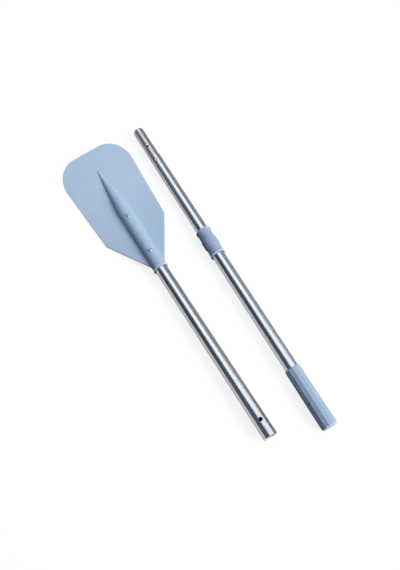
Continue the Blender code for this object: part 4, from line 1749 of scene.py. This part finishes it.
LAMPS = (
    Lamp("key_soft_box", (3.00, -3.90, 3.45), (0.0, 0.0, 0.0), (2.2, 2.2), 372.0, "fffaf4"),
    Lamp("ceiling_soft_box", (0.29, 0.92, 1.50), (0.29, 0.92, 0.0), (1.42, 2.36), 22.0,
         "e5effa"),
    Lamp("side_soft_box", (1.75, 0.90, 0.95), (0.0, 0.90, 0.0), (2.4, 0.9), 2.5),
    Lamp("front_side_soft_box", (1.30, -0.25, 1.30), (0.0, -0.25, 0.0), (0.9, 0.8), 3.5),
    Lamp("far_left_card", (-1.60, 2.10, 1.40), (0.09, 0.28, 0.0), (0.9, 0.9), 1.1, "dbe2f6"),
    Lamp("near_left_card", (-1.63, -0.01, 1.16), (-0.03, -0.25, 0.0), (0.8, 0.8), 0.42,
         "dbdff8"),
)


@dataclass(frozen=True)
class Studio:
    """Floor, lamps, world and camera.

    Attributes:
        lip: Place of the socket's lip over the floor, which the camera is measured from.
        heading: The camera's heading, from ahead towards the right.
        pitch: How far the camera looks down.
        lens: Focal length in millimetres.
        sensor: Width of the camera's sensor in millimetres.
        floor_colour: Colour in which the floor reflects the lamps.
        floor_own_light: Share of white that the floor shows without the lamps.
        dark_side: Strength of the room's light on the left.
        light_side: Strength of the room's light on the right.
    """

    lip: Vector
    camera_aside: float = -0.1607
    camera_ahead: float = -0.3975
    camera_height: float = 0.7295
    heading: float = math.radians(30.87)
    pitch: float = math.radians(61.27)
    lens: float = 30.78
    sensor: float = 36.0
    floor_size: float = 12.0
    floor_colour: str = "747474"
    floor_own_light: float = 0.84
    floor_sheen: float = 0.1
    floor_mottle: float = 0.025
    floor_roughness: Pair = (0.85, 0.95)
    room_tint: str = "a9c2f4"
    dark_side: float = 0.035
    light_side: float = 0.09

    def floor(self) -> None:
        """Lay the pale floor, most of whose white is its own.

        Its own share shows to the camera and in metal, and lights nothing.
        """
        bpy.ops.object.select_all(action="DESELECT")
        bpy.ops.mesh.primitive_plane_add(size=self.floor_size)
        floor = bpy.context.active_object
        floor.name = "studio_floor"
        material, tree, shader = new_material("painted_white_board")
        coordinates = add_node(tree, "ShaderNodeTexCoord")
        noise = add_node(tree, "ShaderNodeTexNoise", {"Scale": 1 / self.floor_mottle},
                         {"Vector": coordinates.outputs["Object"]})
        dull = add_node(tree, "ShaderNodeMapRange",
                        {"To Min": self.floor_roughness[0], "To Max": self.floor_roughness[1]},
                        {"Value": noise.outputs["Fac"]})
        rays = add_node(tree, "ShaderNodeLightPath")
        seen = rays.outputs["Is Camera Ray"]
        for kind in ("Is Glossy Ray", "Is Transmission Ray"):
            either = add_node(tree, "ShaderNodeMath", {"operation": "MAXIMUM"},
                              {MATH_FIRST: seen, MATH_SECOND: rays.outputs[kind]})
            seen = either.outputs["Value"]
        own = add_node(tree, "ShaderNodeMath",
                       {"operation": "MULTIPLY", MATH_SECOND: self.floor_own_light},
                       {MATH_FIRST: seen})
        shader.inputs["Base Color"].default_value = linear(self.floor_colour)
        shader.inputs["Emission Color"].default_value = linear("ffffff")
        shader.inputs["Specular IOR Level"].default_value = self.floor_sheen
        tree.links.new(dull.outputs["Result"], shader.inputs["Roughness"])
        tree.links.new(own.outputs["Value"], shader.inputs["Emission Strength"])
        floor.data.materials.append(material)

    def world(self) -> None:
        """Give the room a dim light that grows from its dark left side to its right side."""
        world = bpy.data.worlds.new("studio_room")
        world.use_nodes = True
        tree = world.node_tree
        direction = add_node(tree, "ShaderNodeTexCoord")
        sides = add_node(tree, "ShaderNodeSeparateXYZ", None,
                         {"Vector": direction.outputs["Generated"]})
        strength = add_node(tree, "ShaderNodeMapRange",
                            {"From Min": -1.0, "From Max": 1.0, "To Min": self.dark_side,
                             "To Max": self.light_side, "interpolation_type": "SMOOTHSTEP"},
                            {"Value": sides.outputs["X"]})
        background = tree.nodes["Background"]
        background.inputs["Color"].default_value = linear(self.room_tint)
        tree.links.new(strength.outputs["Result"], background.inputs["Strength"])
        bpy.context.scene.world = world

    def camera(self) -> None:
        """Stand the camera where the photograph was taken."""
        data = bpy.data.cameras.new("camera")
        data.lens = self.lens
        data.sensor_width = self.sensor
        camera = bpy.data.objects.new("camera", data)
        camera.location = (self.lip.x + self.camera_aside, self.lip.y + self.camera_ahead,
                           self.camera_height)
        camera.rotation_euler = (QUARTER_TURN - self.pitch, 0, -self.heading)
        bpy.context.scene.collection.objects.link(camera)
        bpy.context.scene.camera = camera

    def build(self) -> None:
        """Set up the studio."""
        self.floor()
        self.world()
        self.camera()
        for lamp in LAMPS:
            lamp.build()
        bpy.context.scene.view_settings.view_transform = "Standard"


def write_sizes() -> None:
    """Bring the scene's placements up to date."""
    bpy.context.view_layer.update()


def main() -> None:
    """Build both halves and the studio, in order."""
    logging.basicConfig(level=logging.INFO, format="%(name)s %(message)s")
    blade_half = BladeHalf()
    for part in (blade_half, HandleHalf()):
        LOG.info("building %s", type(part).__name__)
        part.build()
    Studio(blade_half.half().origin).build()
    write_sizes()


if __name__ == "__main__":
    main()
